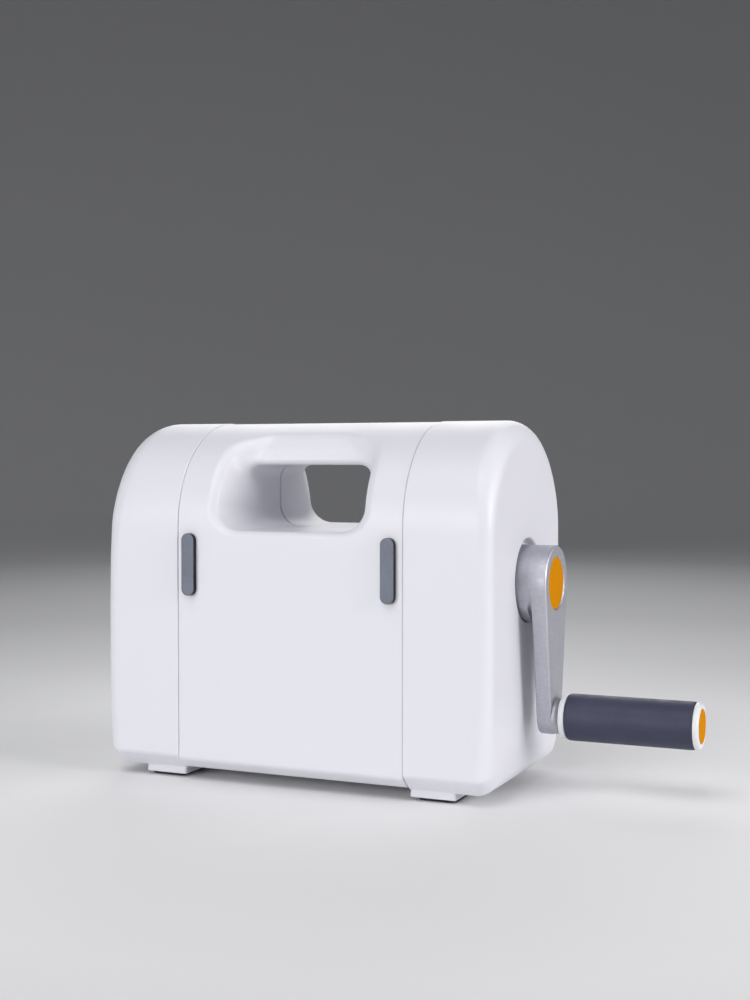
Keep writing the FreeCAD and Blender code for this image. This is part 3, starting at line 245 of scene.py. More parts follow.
MAT = {
    "white_shell": plastic("shell_plastic", (0.787, 0.786, 0.842), 0.40, grain=4200.0, depth=0.000008, spread=0.012),
    "white_matte": plastic("matte_plastic", (0.690, 0.710, 0.750), 0.58, grain=2600.0, depth=0.000016, spread=0.02),
    "white_trim": plastic("trim_plastic", (0.800, 0.810, 0.815), 0.36, grain=5200.0, depth=0.000005, spread=0.015),
    "grey_rubber": rubber("pad_rubber", (0.172, 0.192, 0.240), 0.50, gloss=0.35, rim=(0.004, 0.005, 0.009)),
    "slate_sleeve": rubber("sleeve_coat", (0.048, 0.052, 0.088), 0.50, grain=3600.0, depth=0.000014, spread=0.08, gloss=0.3),
    "foot_rubber": rubber("foot_rubber", (0.022, 0.024, 0.028), 0.75, spread=0.18),
    "silver_paint": metal("silver_paint", (0.520, 0.523, 0.575), 0.52, flakes=0.35, spread=0.03, metallic=0.90),
    "orange_cap": plastic("amber_plastic", (0.640, 0.245, 0.006), 0.42, grain=5200.0, depth=0.000005, spread=0.05, gloss=0.0),
    "plate_steel": metal("plate_steel", (0.480, 0.490, 0.505), 0.42, streak=(220.0, 2600.0, 90.0), pits=0.25),
    "roller_steel": metal("roller_steel", (0.560, 0.565, 0.575), 0.30, streak=(1800.0, 40.0, 40.0), spread=0.06, depth=0.0000010),
    "axle_steel": metal("axle_steel", (0.520, 0.525, 0.530), 0.24, streak=(3000.0, 70.0, 70.0)),
    "gear_steel": metal("gear_steel", (0.360, 0.355, 0.345), 0.40, streak=(260.0, 1500.0, 1500.0), pits=0.4),
    "clip_steel": metal("clip_steel", (0.150, 0.150, 0.160), 0.36, spread=0.2),
    "zinc_screw": metal("zinc_screw", (0.580, 0.575, 0.540), 0.30, spread=0.16, pits=0.2),
    "bronze": metal("sintered_bronze", (0.420, 0.270, 0.130), 0.46, pits=0.6),
    "magnet": metal("nickel_magnet", (0.620, 0.610, 0.590), 0.18, spread=0.08),
}

SLOT_OF = {s["node"]: s["material_slot"] for s in frame["record"]["subparts"]}
for name, obj in NODES.items():
    obj.data.materials.clear()
    obj.data.materials.append(MAT[SLOT_OF[name]])


# ----------------------------------------------------------- mesh helpers
def apply_modifiers(obj):
    bpy.context.view_layer.update()
    dg = bpy.context.evaluated_depsgraph_get()
    made = bpy.data.meshes.new_from_object(obj.evaluated_get(dg))
    old = obj.data
    obj.modifiers.clear()
    obj.data = made
    made.name = old.name
    bpy.data.meshes.remove(old)


def raw_object(name, verts, faces, weld=3e-6):
    me = bpy.data.meshes.new(name)
    me.from_pydata([to_m(v) for v in verts], [], faces)
    bm = bmesh.new()
    bm.from_mesh(me)
    if weld:
        bmesh.ops.remove_doubles(bm, verts=bm.verts, dist=weld)
        bmesh.ops.dissolve_degenerate(bm, dist=1e-6, edges=bm.edges)
    bmesh.ops.recalc_face_normals(bm, faces=bm.faces)
    bm.to_mesh(me)
    bm.free()
    obj = bpy.data.objects.new(name, me)
    scene.collection.objects.link(obj)
    return obj


def combine(obj, cutter, operation):
    m = obj.modifiers.new("join", "BOOLEAN")
    m.operation = operation
    m.solver = "EXACT"
    m.object = cutter
    apply_modifiers(obj)
    me = cutter.data
    bpy.data.objects.remove(cutter)
    bpy.data.meshes.remove(me)


def finish_piece(obj, slot, body, stands_for=(), edge=None, steps=3, angle=30.0, sharp=None, spare=None):
    """Material, rounded edges, shading and the body it rides on; spare names the places whose edges stay as built."""
    me = obj.data
    me.materials.clear()
    me.materials.append(MAT[slot])
    for p in me.polygons:
        p.use_smooth = True
        p.material_index = 0
    if sharp is not None:
        me.set_sharp_from_angle(angle=math.radians(sharp))
    if edge:
        m = obj.modifiers.new("edges", "BEVEL")
        m.width = edge / 1000.0
        m.segments = steps
        m.limit_method = "WEIGHT"
        weights = me.attributes.new("bevel_weight_edge", "FLOAT", "EDGE")
        bm = bmesh.new()
        bm.from_mesh(me)
        layer = bm.edges.layers.float["bevel_weight_edge"]
        for e in bm.edges:
            turned = len(e.link_faces) == 2 and e.calc_face_angle(0.0) > math.radians(angle)
            e[layer] = 1.0 if turned and not (spare and all(spare(*v.co) for v in e.verts)) else 0.0
        bm.to_mesh(me)
        bm.free()
        m.use_clamp_overlap = False
        m.miter_outer = "MITER_ARC"
    w = obj.modifiers.new("normals", "WEIGHTED_NORMAL")
    w.keep_sharp = True
    w.weight = 80
    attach(obj, body)
    if stands_for:
        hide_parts(*stands_for)
    return obj


def rings_to_mesh(rings, closed_start=True, closed_end=True, closed_loop=False):
    """Quads between successive rings of equal count, with flat ends."""
    n = len(rings[0])
    verts = [p for r in rings for p in r]
    faces = []
    last = len(rings) if closed_loop else len(rings) - 1
    for k in range(last):
        a, b = k * n, ((k + 1) % len(rings)) * n
        for i in range(n):
            j = (i + 1) % n
            faces.append((a + i, a + j, b + j, b + i))
    if not closed_loop:
        if closed_start:
            faces.append(tuple(range(n - 1, -1, -1)))
        if closed_end:
            faces.append(tuple(range((len(rings) - 1) * n, len(rings) * n)))
    return verts, faces


def lathe(name, profile, cy, cz, count=96, closed=False):
    """A solid turned about an axis along X: profile is (x, radius) pairs."""
    rings = []
    for x, r in profile:
        rings.append([(x, cy + r * math.cos(2 * math.pi * i / count), cz + r * math.sin(2 * math.pi * i / count))
                      for i in range(count)])
    return raw_object(name, *rings_to_mesh(rings, closed_loop=closed))


def lathe_y(name, profile, cx, cz, count=64):
    """The same about an axis along Y: profile is (y, radius) pairs."""
    rings = []
    for y, r in profile:
        rings.append([(cx + r * math.cos(2 * math.pi * i / count), y, cz + r * math.sin(2 * math.pi * i / count))
                      for i in range(count)])
    return raw_object(name, *rings_to_mesh(rings))


def quarter(x0, r0, x1, r1, steps=5, outward=True):
    """Quarter ellipse from (x0, r0) to (x1, r1) in (x, r), leaving along x or r."""
    out = []
    for k in range(steps + 1):
        t = math.pi / 2 * k / steps
        if outward:
            out.append((x0 + (x1 - x0) * math.sin(t), r0 + (r1 - r0) * (1 - math.cos(t))))
        else:
            out.append((x0 + (x1 - x0) * (1 - math.cos(t)), r0 + (r1 - r0) * math.sin(t)))
    return out


# --------------------------------------------------- the body's arched outline
HALF_W, HALF_D, TOP, FLOOR = 77.4, 41.4, 133.6, 3.6
SPRING, SHOULDER, CROWN_Z = 94.5, 38.6, 86.91
CROWN = TOP - CROWN_Z
ARC_END = math.atan2(SPRING - CROWN_Z, HALF_D - SHOULDER)


class Arch:
    """Half outline of the body, from the middle of the floor to the crown."""

    def __init__(self, hd, floor, cd, cz, ra, rb, inset, counts):
        self.hd, self.floor, self.cd, self.cz = hd, floor, cd, cz
        self.ra, self.rb, self.inset = ra, rb, inset
        self.samples = []
        names = ("floor", "toe", "chamfer", "heel", "wall", "shoulder", "crown")
        for name, n in zip(names, counts):
            for k in range(n):
                self.samples.append((name, k / n))
        self.samples.append(("crown", 1.0))

    def point(self, i, t):
        name, f = self.samples[i]
        hd, z0, cd, cz = self.hd, self.floor, self.cd, self.cz
        run = math.hypot(cd, cz)
        turn = math.atan2(cz, cd)
        ra, rb = self.ra, self.rb
        ya, za = hd - cd + t * (cd - run) / cz, z0 + t
        yb, zb = hd - t, z0 + ((cd - t) * cz + t * run) / cd
        la, lb = ra * math.tan(turn / 2), rb * math.tan((math.pi / 2 - turn) / 2)
        r = SHOULDER - self.inset - t
        rc = CROWN - self.inset - t
        if name == "floor":
            return (0.0 + (ya - la) * f, za)
        if name == "toe":
            a = turn * f
            return (ya - la + ra * math.sin(a), za + ra * (1 - math.cos(a)))
        if name == "chamfer":
            c, s = math.cos(turn), math.sin(turn)
            return lerp((ya + la * c, za + la * s), (yb - lb * c, zb - lb * s), f)
        if name == "heel":
            a = turn + (math.pi / 2 - turn) * f
            return (yb - rb + rb * math.sin(a), zb + lb - rb * math.cos(a))
        if name == "wall":
            return (yb, zb + lb + (SPRING - zb - lb) * f)
        if name == "shoulder":
            a = ARC_END * f
            return (HALF_D - SHOULDER + r * math.cos(a), SPRING + r * math.sin(a))
        a = ARC_END + (math.pi / 2 - ARC_END) * f
        return (rc * math.cos(a), CROWN_Z + rc * math.sin(a))


HOUSING = Arch(HALF_D, FLOOR, 6.5, 5.7, 2.2, 2.4, 0.0, (6, 5, 3, 7, 24, 36, 14))

# rounding of the outer edge against height, right and left housing
EDGE = {1.0: ((3.6, 7.4), (10.0, 7.2), (16.0, 6.4), (28.0, 5.1), (60.0, 5.0), (94.5, 5.1), (104.0, 5.9), (112.0, 6.8),
              (121.0, 7.7), (130.0, 8.0), (133.6, 8.0)),
        -1.0: ((3.6, 7.4), (10.0, 7.2), (16.0, 6.5), (28.0, 5.6), (60.0, 5.5), (81.0, 6.2), (94.5, 7.5), (104.0, 9.1),
               (112.0, 10.0), (121.0, 10.4), (130.0, 10.2), (133.6, 10.1))}


def edge_radius(i, side):
    """Cubic through the table, so the rounding changes without a kink."""
    table = EDGE[side]
    z = HOUSING.point(i, 0.0)[1]
    k = 0
    while k < len(table) - 2 and z > table[k + 1][0]:
        k += 1
    (z0, r0), (z1, r1) = table[k], table[k + 1]

    def slope(j):
        a, b = table[max(0, j - 1)], table[min(len(table) - 1, j + 1)]
        return (b[1] - a[1]) / (b[0] - a[0])

    h = z1 - z0
    t = min(1.0, max(0.0, (z - z0) / h))
    return ((2 * t ** 3 - 3 * t * t + 1) * r0 + (t ** 3 - 2 * t * t + t) * h * slope(k)
            + (3 * t * t - 2 * t ** 3) * r1 + (t ** 3 - t * t) * h * slope(k + 1))


def loop_at(inset):
    """Closed ring of (y, z) at an inset that may differ from sample to sample."""
    n = len(HOUSING.samples)
    right = [HOUSING.point(i, inset(i)) for i in range(n)]
    return right + [(-y, z) for y, z in right[-2:0:-1]]


def housing(name, side):
    rings = []

    def add(x, inset):
        rings.append([(side * x, y, z) for y, z in loop_at(inset)])

    # inner skin, rim and the rounded meeting edge
    for t in (0.0, 0.4, 1.0):
        add(HALF_W - 5.2 + 2.6 * t, lambda i, t=t: 2.5 + 2.6 * (1 - math.cos(math.pi / 2 * t)))
    skin = rings[::-1]
    rings.clear()
    rings.extend(skin)
    add(45.45, lambda i: 2.5)
    add(45.15, lambda i: 2.2)
    for k in range(5):
        a = math.pi / 2 * k / 4
        add(45.5 - 0.35 * math.cos(a), lambda i, a=a: 0.35 * (1 - math.sin(a)))
    for x in (49.0, 54.0, 60.0, 65.5):
        add(x, lambda i: 0.0)
    steps = 11
    for k in range(steps + 1):
        a = math.pi / 2 * k / steps
        rings.append([])
        n = len(HOUSING.samples)
        right = []
        for i in range(n):
            r = edge_radius(i, side)
            y, z = HOUSING.point(i, r * (1 - math.cos(a)))
            right.append((HALF_W - r + r * math.sin(a), y, z))
        full = right + [(x, -y, z) for x, y, z in right[-2:0:-1]]
        rings[-1] = [(side * x, y, z) for x, y, z in full]
    if side < 0:
        verts, faces = rings_to_mesh(rings)
        obj = raw_object(name, verts, faces)
    else:
        outer = rings[-1]
        angles = [math.atan2(z - 75.0, y) for _, y, z in outer]

        def circle(x, r, up=0.0):
            return [(x, r * math.cos(a), 75.0 + up + r * math.sin(a)) for a in angles]

        dish = [circle(HALF_W, 24.0), circle(HALF_W, 17.2, 0.6), circle(HALF_W, 15.8, 0.8)]
        for x, r, up in ((77.33, 15.55, 0.8), (77.12, 15.32, 0.78), (76.7, 15.15, 0.75), (76.0, 15.02, 0.7), (75.1, 14.92, 0.62),
                         (74.3, 14.8, 0.5), (73.95, 14.62, 0.35), (73.78, 14.4, 0.2), (73.7, 14.2, 0.1), (73.6, 14.08, 0.0),
                         (73.5, 14.05, 0.0), (73.3, 14.02, 0.0), (73.1, 13.9, 0.0), (73.0, 13.5, 0.0)):
            dish.append(circle(x, r, up))
        dish += [circle(73.0, 5.9), circle(72.8, 5.6), circle(72.4, 5.5), circle(70.5, 5.5), circle(70.5, 16.4),
                 circle(70.9, 17.4), circle(74.8, 17.4)]
        rings = rings + dish
        verts, faces = rings_to_mesh(rings, closed_loop=True)
        obj = raw_object(name, verts, faces)
    return obj


def rounded_rect(x0, x1, y0, y1, r, steps=6):
    out = []
    for cx, cy, a0 in ((x1 - r, y0 + r, -90), (x1 - r, y1 - r, 0), (x0 + r, y1 - r, 90), (x0 + r, y0 + r, 180)):
        for k in range(steps + 1):
            a = math.radians(a0 + 90.0 * k / steps)
            out.append((cx + r * math.cos(a), cy + r * math.sin(a)))
    return out


def foot(name, side, front):
    x0, x1 = (45.4, 62.6)
    y0, y1 = (-35.4, -11.5) if front else (11.5, 35.4)
    rings = []
    for z, g, r in ((4.9, -0.1, 0.9), (3.4, -0.1, 0.9), (1.9, 0.0, 0.9), (1.55, 0.0, 0.9), (1.36, -0.07, 0.85), (1.28, -0.2, 0.8),
                    (1.25, -0.4, 0.7)):
        pts = rounded_rect(x0 - g, x1 + g, y0 - g, y1 + g, r)
        rings.append([(side * x, y, z) for x, y in pts])
    return raw_object(name, *rings_to_mesh(rings))


for label, side in (("right", 1.0), ("left", -1.0)):
    shell = housing(label + "_housing_shell", side)
    for front in (True, False):
        combine(shell, foot("foot_block", side, front), "UNION")
    finish_piece(shell, "white_shell", "frame", (label + "_housing",), sharp=55.0)

verts, faces = [], []
for side in (1.0, -1.0):
    for front in (1.0, -1.0):
        rings = []
        for z, g, r in ((1.25, 0.0, 2.2), (0.45, 0.0, 2.2), (0.2, -0.08, 2.1), (0.05, -0.25, 1.95), (0.0, -0.5, 1.7)):
            rings.append([(side * x, front * y, z) for x, y in rounded_rect(47.4 - g, 61.9 + g, -33.5 - g, -13.4 + g, r, 8)])
        v, f = rings_to_mesh(rings)
        faces += [tuple(i + len(verts) for i in q) for q in f]
        verts += v
finish_piece(raw_object("foot_rubbers", verts, faces), "foot_rubber", "frame", ("foot_pads",), sharp=60.0)


# ------------------------------------------------------------------ doors
DOOR_X, RECESS = 45.05, 0.25
DOOR_D, DOOR_Z = HALF_D - RECESS, 4.5
D_R, D_C = SHOULDER - RECESS, CROWN - RECESS
MEET, STEP_Z, BACK = -0.37, 91.0, -12.5
S_TOP = SPRING + D_R * ARC_END + D_C * (math.acos(-MEET / D_C) - ARC_END)
DOOR = Arch(DOOR_D, DOOR_Z, 5.0, 3.9, 2.0, 2.2, RECESS, (1, 5, 3, 6, 1, 1, 1))


def front_surface(x, s):
    """Point and upward tangent of the door's front at height s along its arc."""
    if s <= SPRING:
        return (x, -DOOR_D, s), (0.0, 0.0, 1.0)
    a = (s - SPRING) / D_R
    if a <= ARC_END:
        return ((x, -(HALF_D - SHOULDER + D_R * math.cos(a)), SPRING + D_R * math.sin(a)),
                (0.0, math.sin(a), math.cos(a)))
    a = ARC_END + (s - SPRING - D_R * ARC_END) / D_C
    return ((x, -D_C * math.cos(a), CROWN_Z + D_C * math.sin(a)), (0.0, math.sin(a), math.cos(a)))


SEG = (("low", 24), ("corner_lr", 22), ("right", 14), ("corner_ur", 32), ("top", 24), ("corner_ul", 32), ("left", 14),
       ("corner_ll", 22))


def mouth_loop(w, z0, z1, low, high):
    """Rounded rectangle, counter-clockwise from lower left, as (u, v, nu, nv, segment, fraction).

    low and high are the half axes of the lower and upper corners.
    """
    (ax, az), (bx, bz) = low, high
    out = []
    for name, n in SEG:
        for k in range(n):
            f = k / n
            a = math.pi / 2 * f
            if name == "low":
                out.append((-w + ax + 2 * (w - ax) * f, z0, 0.0, -1.0, name, f))
            elif name == "right":
                out.append((w, z0 + az + (z1 - bz - z0 - az) * f, 1.0, 0.0, name, f))
            elif name == "top":
                out.append((w - bx - 2 * (w - bx) * f, z1, 0.0, 1.0, name, f))
            elif name == "left":
                out.append((-w, z1 - bz - (z1 - bz - z0 - az) * f, -1.0, 0.0, name, f))
            else:
                cx, cz, rx, rz, a0 = {
                    "corner_lr": (w - ax, z0 + az, ax, az, -math.pi / 2),
                    "corner_ur": (w - bx, z1 - bz, bx, bz, 0.0),
                    "corner_ul": (-w + bx, z1 - bz, bx, bz, math.pi / 2),
                    "corner_ll": (-w + ax, z0 + az, ax, az, math.pi)}[name]
                t = a0 + a
                c, s = math.cos(t), math.sin(t)
                nx, nz = c / rx, s / rz
                m = math.hypot(nx, nz)
                out.append((cx + rx * c, cz + rz * s, nx / m, nz / m, name, f))
    return out


TUNNEL = mouth_loop(23.6, 93.5, 117.5, (8.8, 8.8), (5.5, 5.5))
RIM = mouth_loop(33.6, 90.4, 142.5, (12.0, 12.0), (20.0, 20.0))
MOUTH_RINGS = 84


def surface_y(z):
    """Depth of the door's front at height z."""
    if z <= SPRING:
        return -DOOR_D
    if z <= SPRING + D_R * math.sin(ARC_END):
        return -(HALF_D - SHOULDER + math.sqrt(D_R ** 2 - (z - SPRING) ** 2))
    return -math.sqrt(max(0.0, D_C ** 2 - (z - CROWN_Z) ** 2))


def outside(y, z):
    """Distance in front of the door's front."""
    if z <= SPRING:
        return -y - DOOR_D
    if math.atan2(z - SPRING, -y - (HALF_D - SHOULDER)) < ARC_END:
        return math.hypot(-y - (HALF_D - SHOULDER), z - SPRING) - D_R
    return math.hypot(y, z - CROWN_Z) - D_C


def round_in(a, b, r):
    """The nearer of two walls, with a rounded corner between them."""
    return min(a, b) if a >= r or b >= r else r - math.hypot(r - a, r - b)


def round_out(a, b, r):
    return max(a, b) if a <= -r or b <= -r else math.hypot(r + a, r + b) - r


def air(x, y, z):
    """Positive where the hand goes, negative in the plastic of the door."""
    g = max(0.0, 27.15 - (y - surface_y(z)))
    x = abs(x)
    wall = (23.6 + g * g / 104.0 - x) / math.sqrt(1.0 + (g / 52.0) ** 2)
    roof = 127.8 + 5.0 * smooth((21.0 - x) / 9.0) - z
    bar = round_out(117.5 - z, (-23.6 + (z - 119.5) * 0.22 - y) * 0.976, 2.5)
    hole = round_in(round_in(round_in(wall, z - 93.5, 8.8), roof, 12.0), bar, 5.5)
    return round_out(hole, outside(y, z), 2.2 + 1.3 * smooth((z - 118.0) / 6.0))


def skin_y(x, z):
    """Depth at which a line along y meets the plastic."""
    lo, hi = -45.0, -3.0
    for _ in range(22):
        mid = 0.5 * (lo + hi)
        if air(x, mid, z) > 0.0:
            lo = mid
        else:
            hi = mid
    return 0.5 * (lo + hi)


def mouth_rings():
    """Rings from inside the tunnel to the front, each column spread by length and by turning."""
    columns = []
    for (tx, tz, nx, nz, _, _), (rx, rs, *_) in zip(TUNNEL, RIM):
        end = front_surface(rx, rs)[0]
        start = (tx + 0.02 * nx, tz + 0.02 * nz)

        def flare(t):
            x, z = lerp(start, (end[0], end[2]), t * t)
            return (x, skin_y(x, z), z)

        first = flare(0.0)

        def spot(u):
            if u < 24.0:
                return lerp((tx, -5.0, tz), (tx, first[1], tz), u / 24.0)
            return flare(min(1.0, (u - 24.0) / 90.0))

        fine = [spot(k) for k in range(115)]
        span, turn, last = [0.0], [0.0], None
        for a, b in zip(fine, fine[1:]):
            d = Vector(b) - Vector(a)
            span.append(span[-1] + d.length)
            bend = last.angle(d) if last is not None and last.length > 1e-5 and d.length > 1e-5 else 0.0
            turn.append(turn[-1] + min(bend, 0.5))
            last = d
        want = [u / span[-1] + 0.45 * v / max(turn[-1], 1.2) for u, v in zip(span, turn)]
        k, col = 0, []
        for j in range(MOUTH_RINGS + 1):
            target = want[-1] * j / MOUTH_RINGS
            while k < len(want) - 2 and want[k + 1] < target:
                k += 1
            gap = want[k + 1] - want[k]
            col.append(spot(k + (min(1.0, (target - want[k]) / gap) if gap > 1e-9 else 0.0)))
        col[-1] = end
        columns.append(col)
    return [[c[j] for c in columns] for j in range(MOUTH_RINGS + 1)]


MOUTH = mouth_rings()


def door_mesh():
    verts, faces = [], []

    def ring(points):
        start = len(verts)
        verts.extend(points)
        return start, len(points)

    def bridge(a, b):
        (sa, n), (sb, _) = a, b
        for i in range(n):
            j = (i + 1) % n
            faces.append((sa + i, sb + i, sb + j, sa + j))

    n = len(TUNNEL)
    # the mouth: from the meeting plane along the tunnel, round the flare, onto the front
    last = ring([(x, MEET, z) for x, z, *_ in TUNNEL])
    inner = last
    cur = ring([(x, -2.0, z) for x, z, *_ in TUNNEL])
    bridge(last, cur)
    last = cur
    for pts in MOUTH:
        cur = ring(pts)
        bridge(last, cur)
        last = cur
    # the front: from the rim of the mouth to a rectangle on the arched face
    corners = []
    at = 0
    for name, m in SEG:
        if name.startswith("corner"):
            corners.append(at + m // 2)
        at += m
    s0, s1 = 72.0, S_TOP
    rect = [None] * n
    boxc = [(DOOR_X, s0), (DOOR_X, s1), (-DOOR_X, s1), (-DOOR_X, s0)]
    for c in range(4):
        i0, i1 = corners[c], corners[(c + 1) % 4]
        count = (i1 - i0) % n
        length = [0.0]
        for k in range(count):
            a, b = RIM[(i0 + k) % n], RIM[(i0 + k + 1) % n]
            length.append(length[-1] + math.hypot(b[0] - a[0], b[1] - a[1]))
        for k in range(count):
            f = length[k] / length[-1]
            rect[(i0 + k) % n] = lerp(boxc[c], boxc[(c + 1) % 4], f)
    rows = 12
    for k in range(1, rows + 1):
        f = (k / rows) ** 1.25
        cur = ring([front_surface(*lerp((r[0], r[1]), q, f))[0] for r, q in zip(RIM, rect)])
        bridge(last, cur)
        last = cur
    # the meeting face round the tunnel
    flat = []
    for (x, s) in rect:
        fz = (s - s0) / (s1 - s0)
        z = STEP_Z + (133.35 - STEP_Z) * fz
        flat.append((x, MEET, z))
    top_z = front_surface(0.0, S_TOP)[0][2]
    flat = [(x, y, top_z if abs(z - 133.35) < 1e-6 else z) for x, y, z in flat]
    cur = ring(flat)
    bridge(cur, inner)
    # lower front, chamfer, floor
    low = [i % n for i in range(corners[3], corners[0] + n + 1)]
    xs = [rect[i][0] for i in low]
    lower = [(-DOOR_D, s0 - (s0 - 14.0) * k / 8) for k in range(9)]
    prof = []
    for i, (name, f) in enumerate(DOOR.samples):
        if name in ("toe", "chamfer", "heel") or (name == "wall" and f == 0):
            y, z = DOOR.point(i, 0.0)
            prof.append((-y, z))
    lower += prof[::-1]
    lower += [(-30.0, DOOR_Z), (-20.0, DOOR_Z), (BACK, DOOR_Z)]
    grid = []
    for y, z in lower:
        grid.append(ring([(x, y, z) for x in xs]))
    for a, b in zip(grid, grid[1:]):
        for i in range(len(xs) - 1):
            faces.append((a[0] + i, b[0] + i, b[0] + i + 1, a[0] + i + 1))
    # step under the carry block and back plane with its pocket
    step_a = ring([(x, MEET, STEP_Z) for x in xs])
    step_b = ring([(x, BACK, STEP_Z) for x in xs])
    for i in range(len(xs) - 1):
        faces.append((step_a[0] + i, step_a[0] + i + 1, step_b[0] + i + 1, step_b[0] + i))
    pocket = []
    px, plo, phi = 42.3, 7.0, 88.5
    for y, lo in ((BACK, plo), (-34.95, plo), (-38.65, 10.0)):
        pocket.append(ring([(-px, y, lo), (px, y, lo), (px, y, phi), (-px, y, phi)]))
    for i in range(4):
        j = (i + 1) % 4
        a, b, c = (p[0] for p in pocket)
        if i == 0:
            faces.append((a + i, a + j, b + j, b + i))
            faces.append((b + i, b + j, c + j, c + i))
        elif i == 2:
            faces.append((a + i, a + j, b + j, b + i))
            faces.append((b + i, b + j, c + j, c + i))
        else:
            faces.append((a + i, a + j, b + j, b + i))
            faces.append((b + i, b + j, c + j, c + i))
    faces.append(tuple(pocket[2][0] + i for i in range(4)))
    m = len(xs)
    bottom = grid[-1][0]
    p0 = pocket[0][0]
    faces.append(tuple([bottom + i for i in range(m)] + [p0 + 1, p0]))
    faces.append(tuple([step_b[0] + i for i in range(m)][::-1] + [p0 + 3, p0 + 2]))
    faces.append((bottom + m - 1, step_b[0] + m - 1, p0 + 2, p0 + 1))
    faces.append((bottom, p0, p0 + 3, step_b[0]))
    # the two side faces
    right_idx = list(range(corners[0], corners[1] + 1))
    left_idx = list(range(corners[2], corners[3] + 1))
    for sx, idx in ((DOOR_X, right_idx), (-DOOR_X, left_idx[::-1])):
        poly = [(sx, BACK, DOOR_Z)]
        poly += [(sx, y, z) for y, z in lower[::-1][1:]]
        poly += [front_surface(*rect[i])[0] for i in idx[1:]]
        poly += [(sx, flat[i][1], flat[i][2]) for i in idx[::-1]][1:] if abs(flat[idx[-1]][2] - poly[-1][2]) < 1e-4 else \
                [(sx, flat[i][1], flat[i][2]) for i in idx[::-1]]
        poly += [(sx, BACK, STEP_Z)]
        st, cnt = ring(poly)
        faces.append(tuple(range(st, st + cnt)))
    return verts, faces


def turned_round(verts):
    return [(-x, -y, z) for x, y, z in verts]


for label, flip in (("front", False), ("rear", True)):
    verts, faces = door_mesh()
    if flip:
        verts = turned_round(verts)
    shell = raw_object(label + "_door_skin", verts, faces)
    k = -1.0 if flip else 1.0
    for sx in (1.0, -1.0):
        combine(shell, lathe("pin_hole", [(sx * 41.0, 2.05), (sx * 46.0, 2.05)], k * -33.3, 10.2, 48), "DIFFERENCE")
        combine(shell, lathe_y("seat", [(k * -2.15, 3.02), (k * 1.5, 3.02)], sx * 38.2, 112.0, 64), "DIFFERENCE")
    finish_piece(shell, "white_shell", label + "_door", (label + "_door_shell",), edge=0.35, angle=32.0,
                 spare=lambda x, y, z: abs(x - SHIFT / 1000.0) < 0.0345 and z > 0.0895 and abs(y) > 0.0012)


# ------------------------------------------------------------ door pads
def pad_mesh(cx, k):
    """A domed, rounded strip of rubber on the door's front."""
    w, lo, hi, base, face = 2.6, 69.3, 92.3, -41.15, -43.5
    rings = []
    steps = ((0.0, 0.05), (1.0, 0.02), (1.75, 0.0), (1.98, 0.04), (2.16, 0.16), (2.27, 0.34), (2.32, 0.6), (2.345, 1.1), (2.35, 1.7), (2.35, 2.2))
    for h, g in steps:
        hw, r = max(w - g, 0.05), max(2.45 - g, 0.04)
        pts = []
        for cyx, cz, a0 in ((hw - r, lo + g + r, -90), (hw - r, hi - g - r, 0), (-hw + r, hi - g - r, 90), (-hw + r, lo + g + r, 180)):
            for q in range(9):
                a = math.radians(a0 + 90.0 * q / 8)
                pts.append((cyx + r * math.cos(a), cz + r * math.sin(a)))
        rings.append([(k * (cx + x), k * (base - h if base - h > face else face), z) for x, z in pts])
    return rings_to_mesh(rings)


for label, k in (("front", 1.0), ("rear", -1.0)):
    verts, faces = [], []
    for cx in (39.9, -39.9):
        v, f = pad_mesh(cx, k)
        faces += [tuple(i + len(verts) for i in q) for q in f]
        verts += v
    pads = raw_object(label + "_door_grips", verts, faces)
    finish_piece(pads, "grey_rubber", label + "_door", (label + "_door_pads",), sharp=60.0)


# ------------------------------------------------------------ crank and grip
HUB_Z, TIP_Z, HUB_R, TIP_R, FLARE = 75.0, 27.1, 13.6, 6.6, 1.5


def arm_outline(inset, count_top=72, count_tip=44, count_side=16):
    """Outline round hub and tip, joined by tangents: (y, z, weight) from the right tangent point over the hub.

    The first points of each side lie where the flare round the hub runs out on
    it; weight is 0 round the hub and 1 where the arm stands free.
    """
    r1, r2 = HUB_R - inset, TIP_R - inset
    phi = math.asin((r1 - r2) / (HUB_Z - TIP_Z))
    a0, a1 = -phi, math.pi + phi
    reach = math.acos(HUB_R / (HUB_R + FLARE))
    out = []
    for k in range(count_top + 1):
        a = a0 + (a1 - a0) * k / count_top
        out.append((r1 * math.cos(a), HUB_Z + r1 * math.sin(a), 0.0))
    left = []
    for k in range(1, 5):
        d = reach * k / 4
        r = r1 / math.cos(d)
        left.append((r * math.cos(a1 + d), HUB_Z + r * math.sin(a1 + d), 0.0))
    end = (r2 * math.cos(a1), TIP_Z + r2 * math.sin(a1))
    for k in range(1, count_side):
        y, z = lerp(left[3][:2], end, k / count_side)
        left.append((y, z, smooth(k / 4)))
    tip = []
    for k in range(count_tip + 1):
        a = a1 + (2 * math.pi - phi - a1) * k / count_tip
        tip.append((r2 * math.cos(a), TIP_Z + r2 * math.sin(a), 1.0))
    return out + left + tip + [(-y, z, w) for y, z, w in reversed(left)]


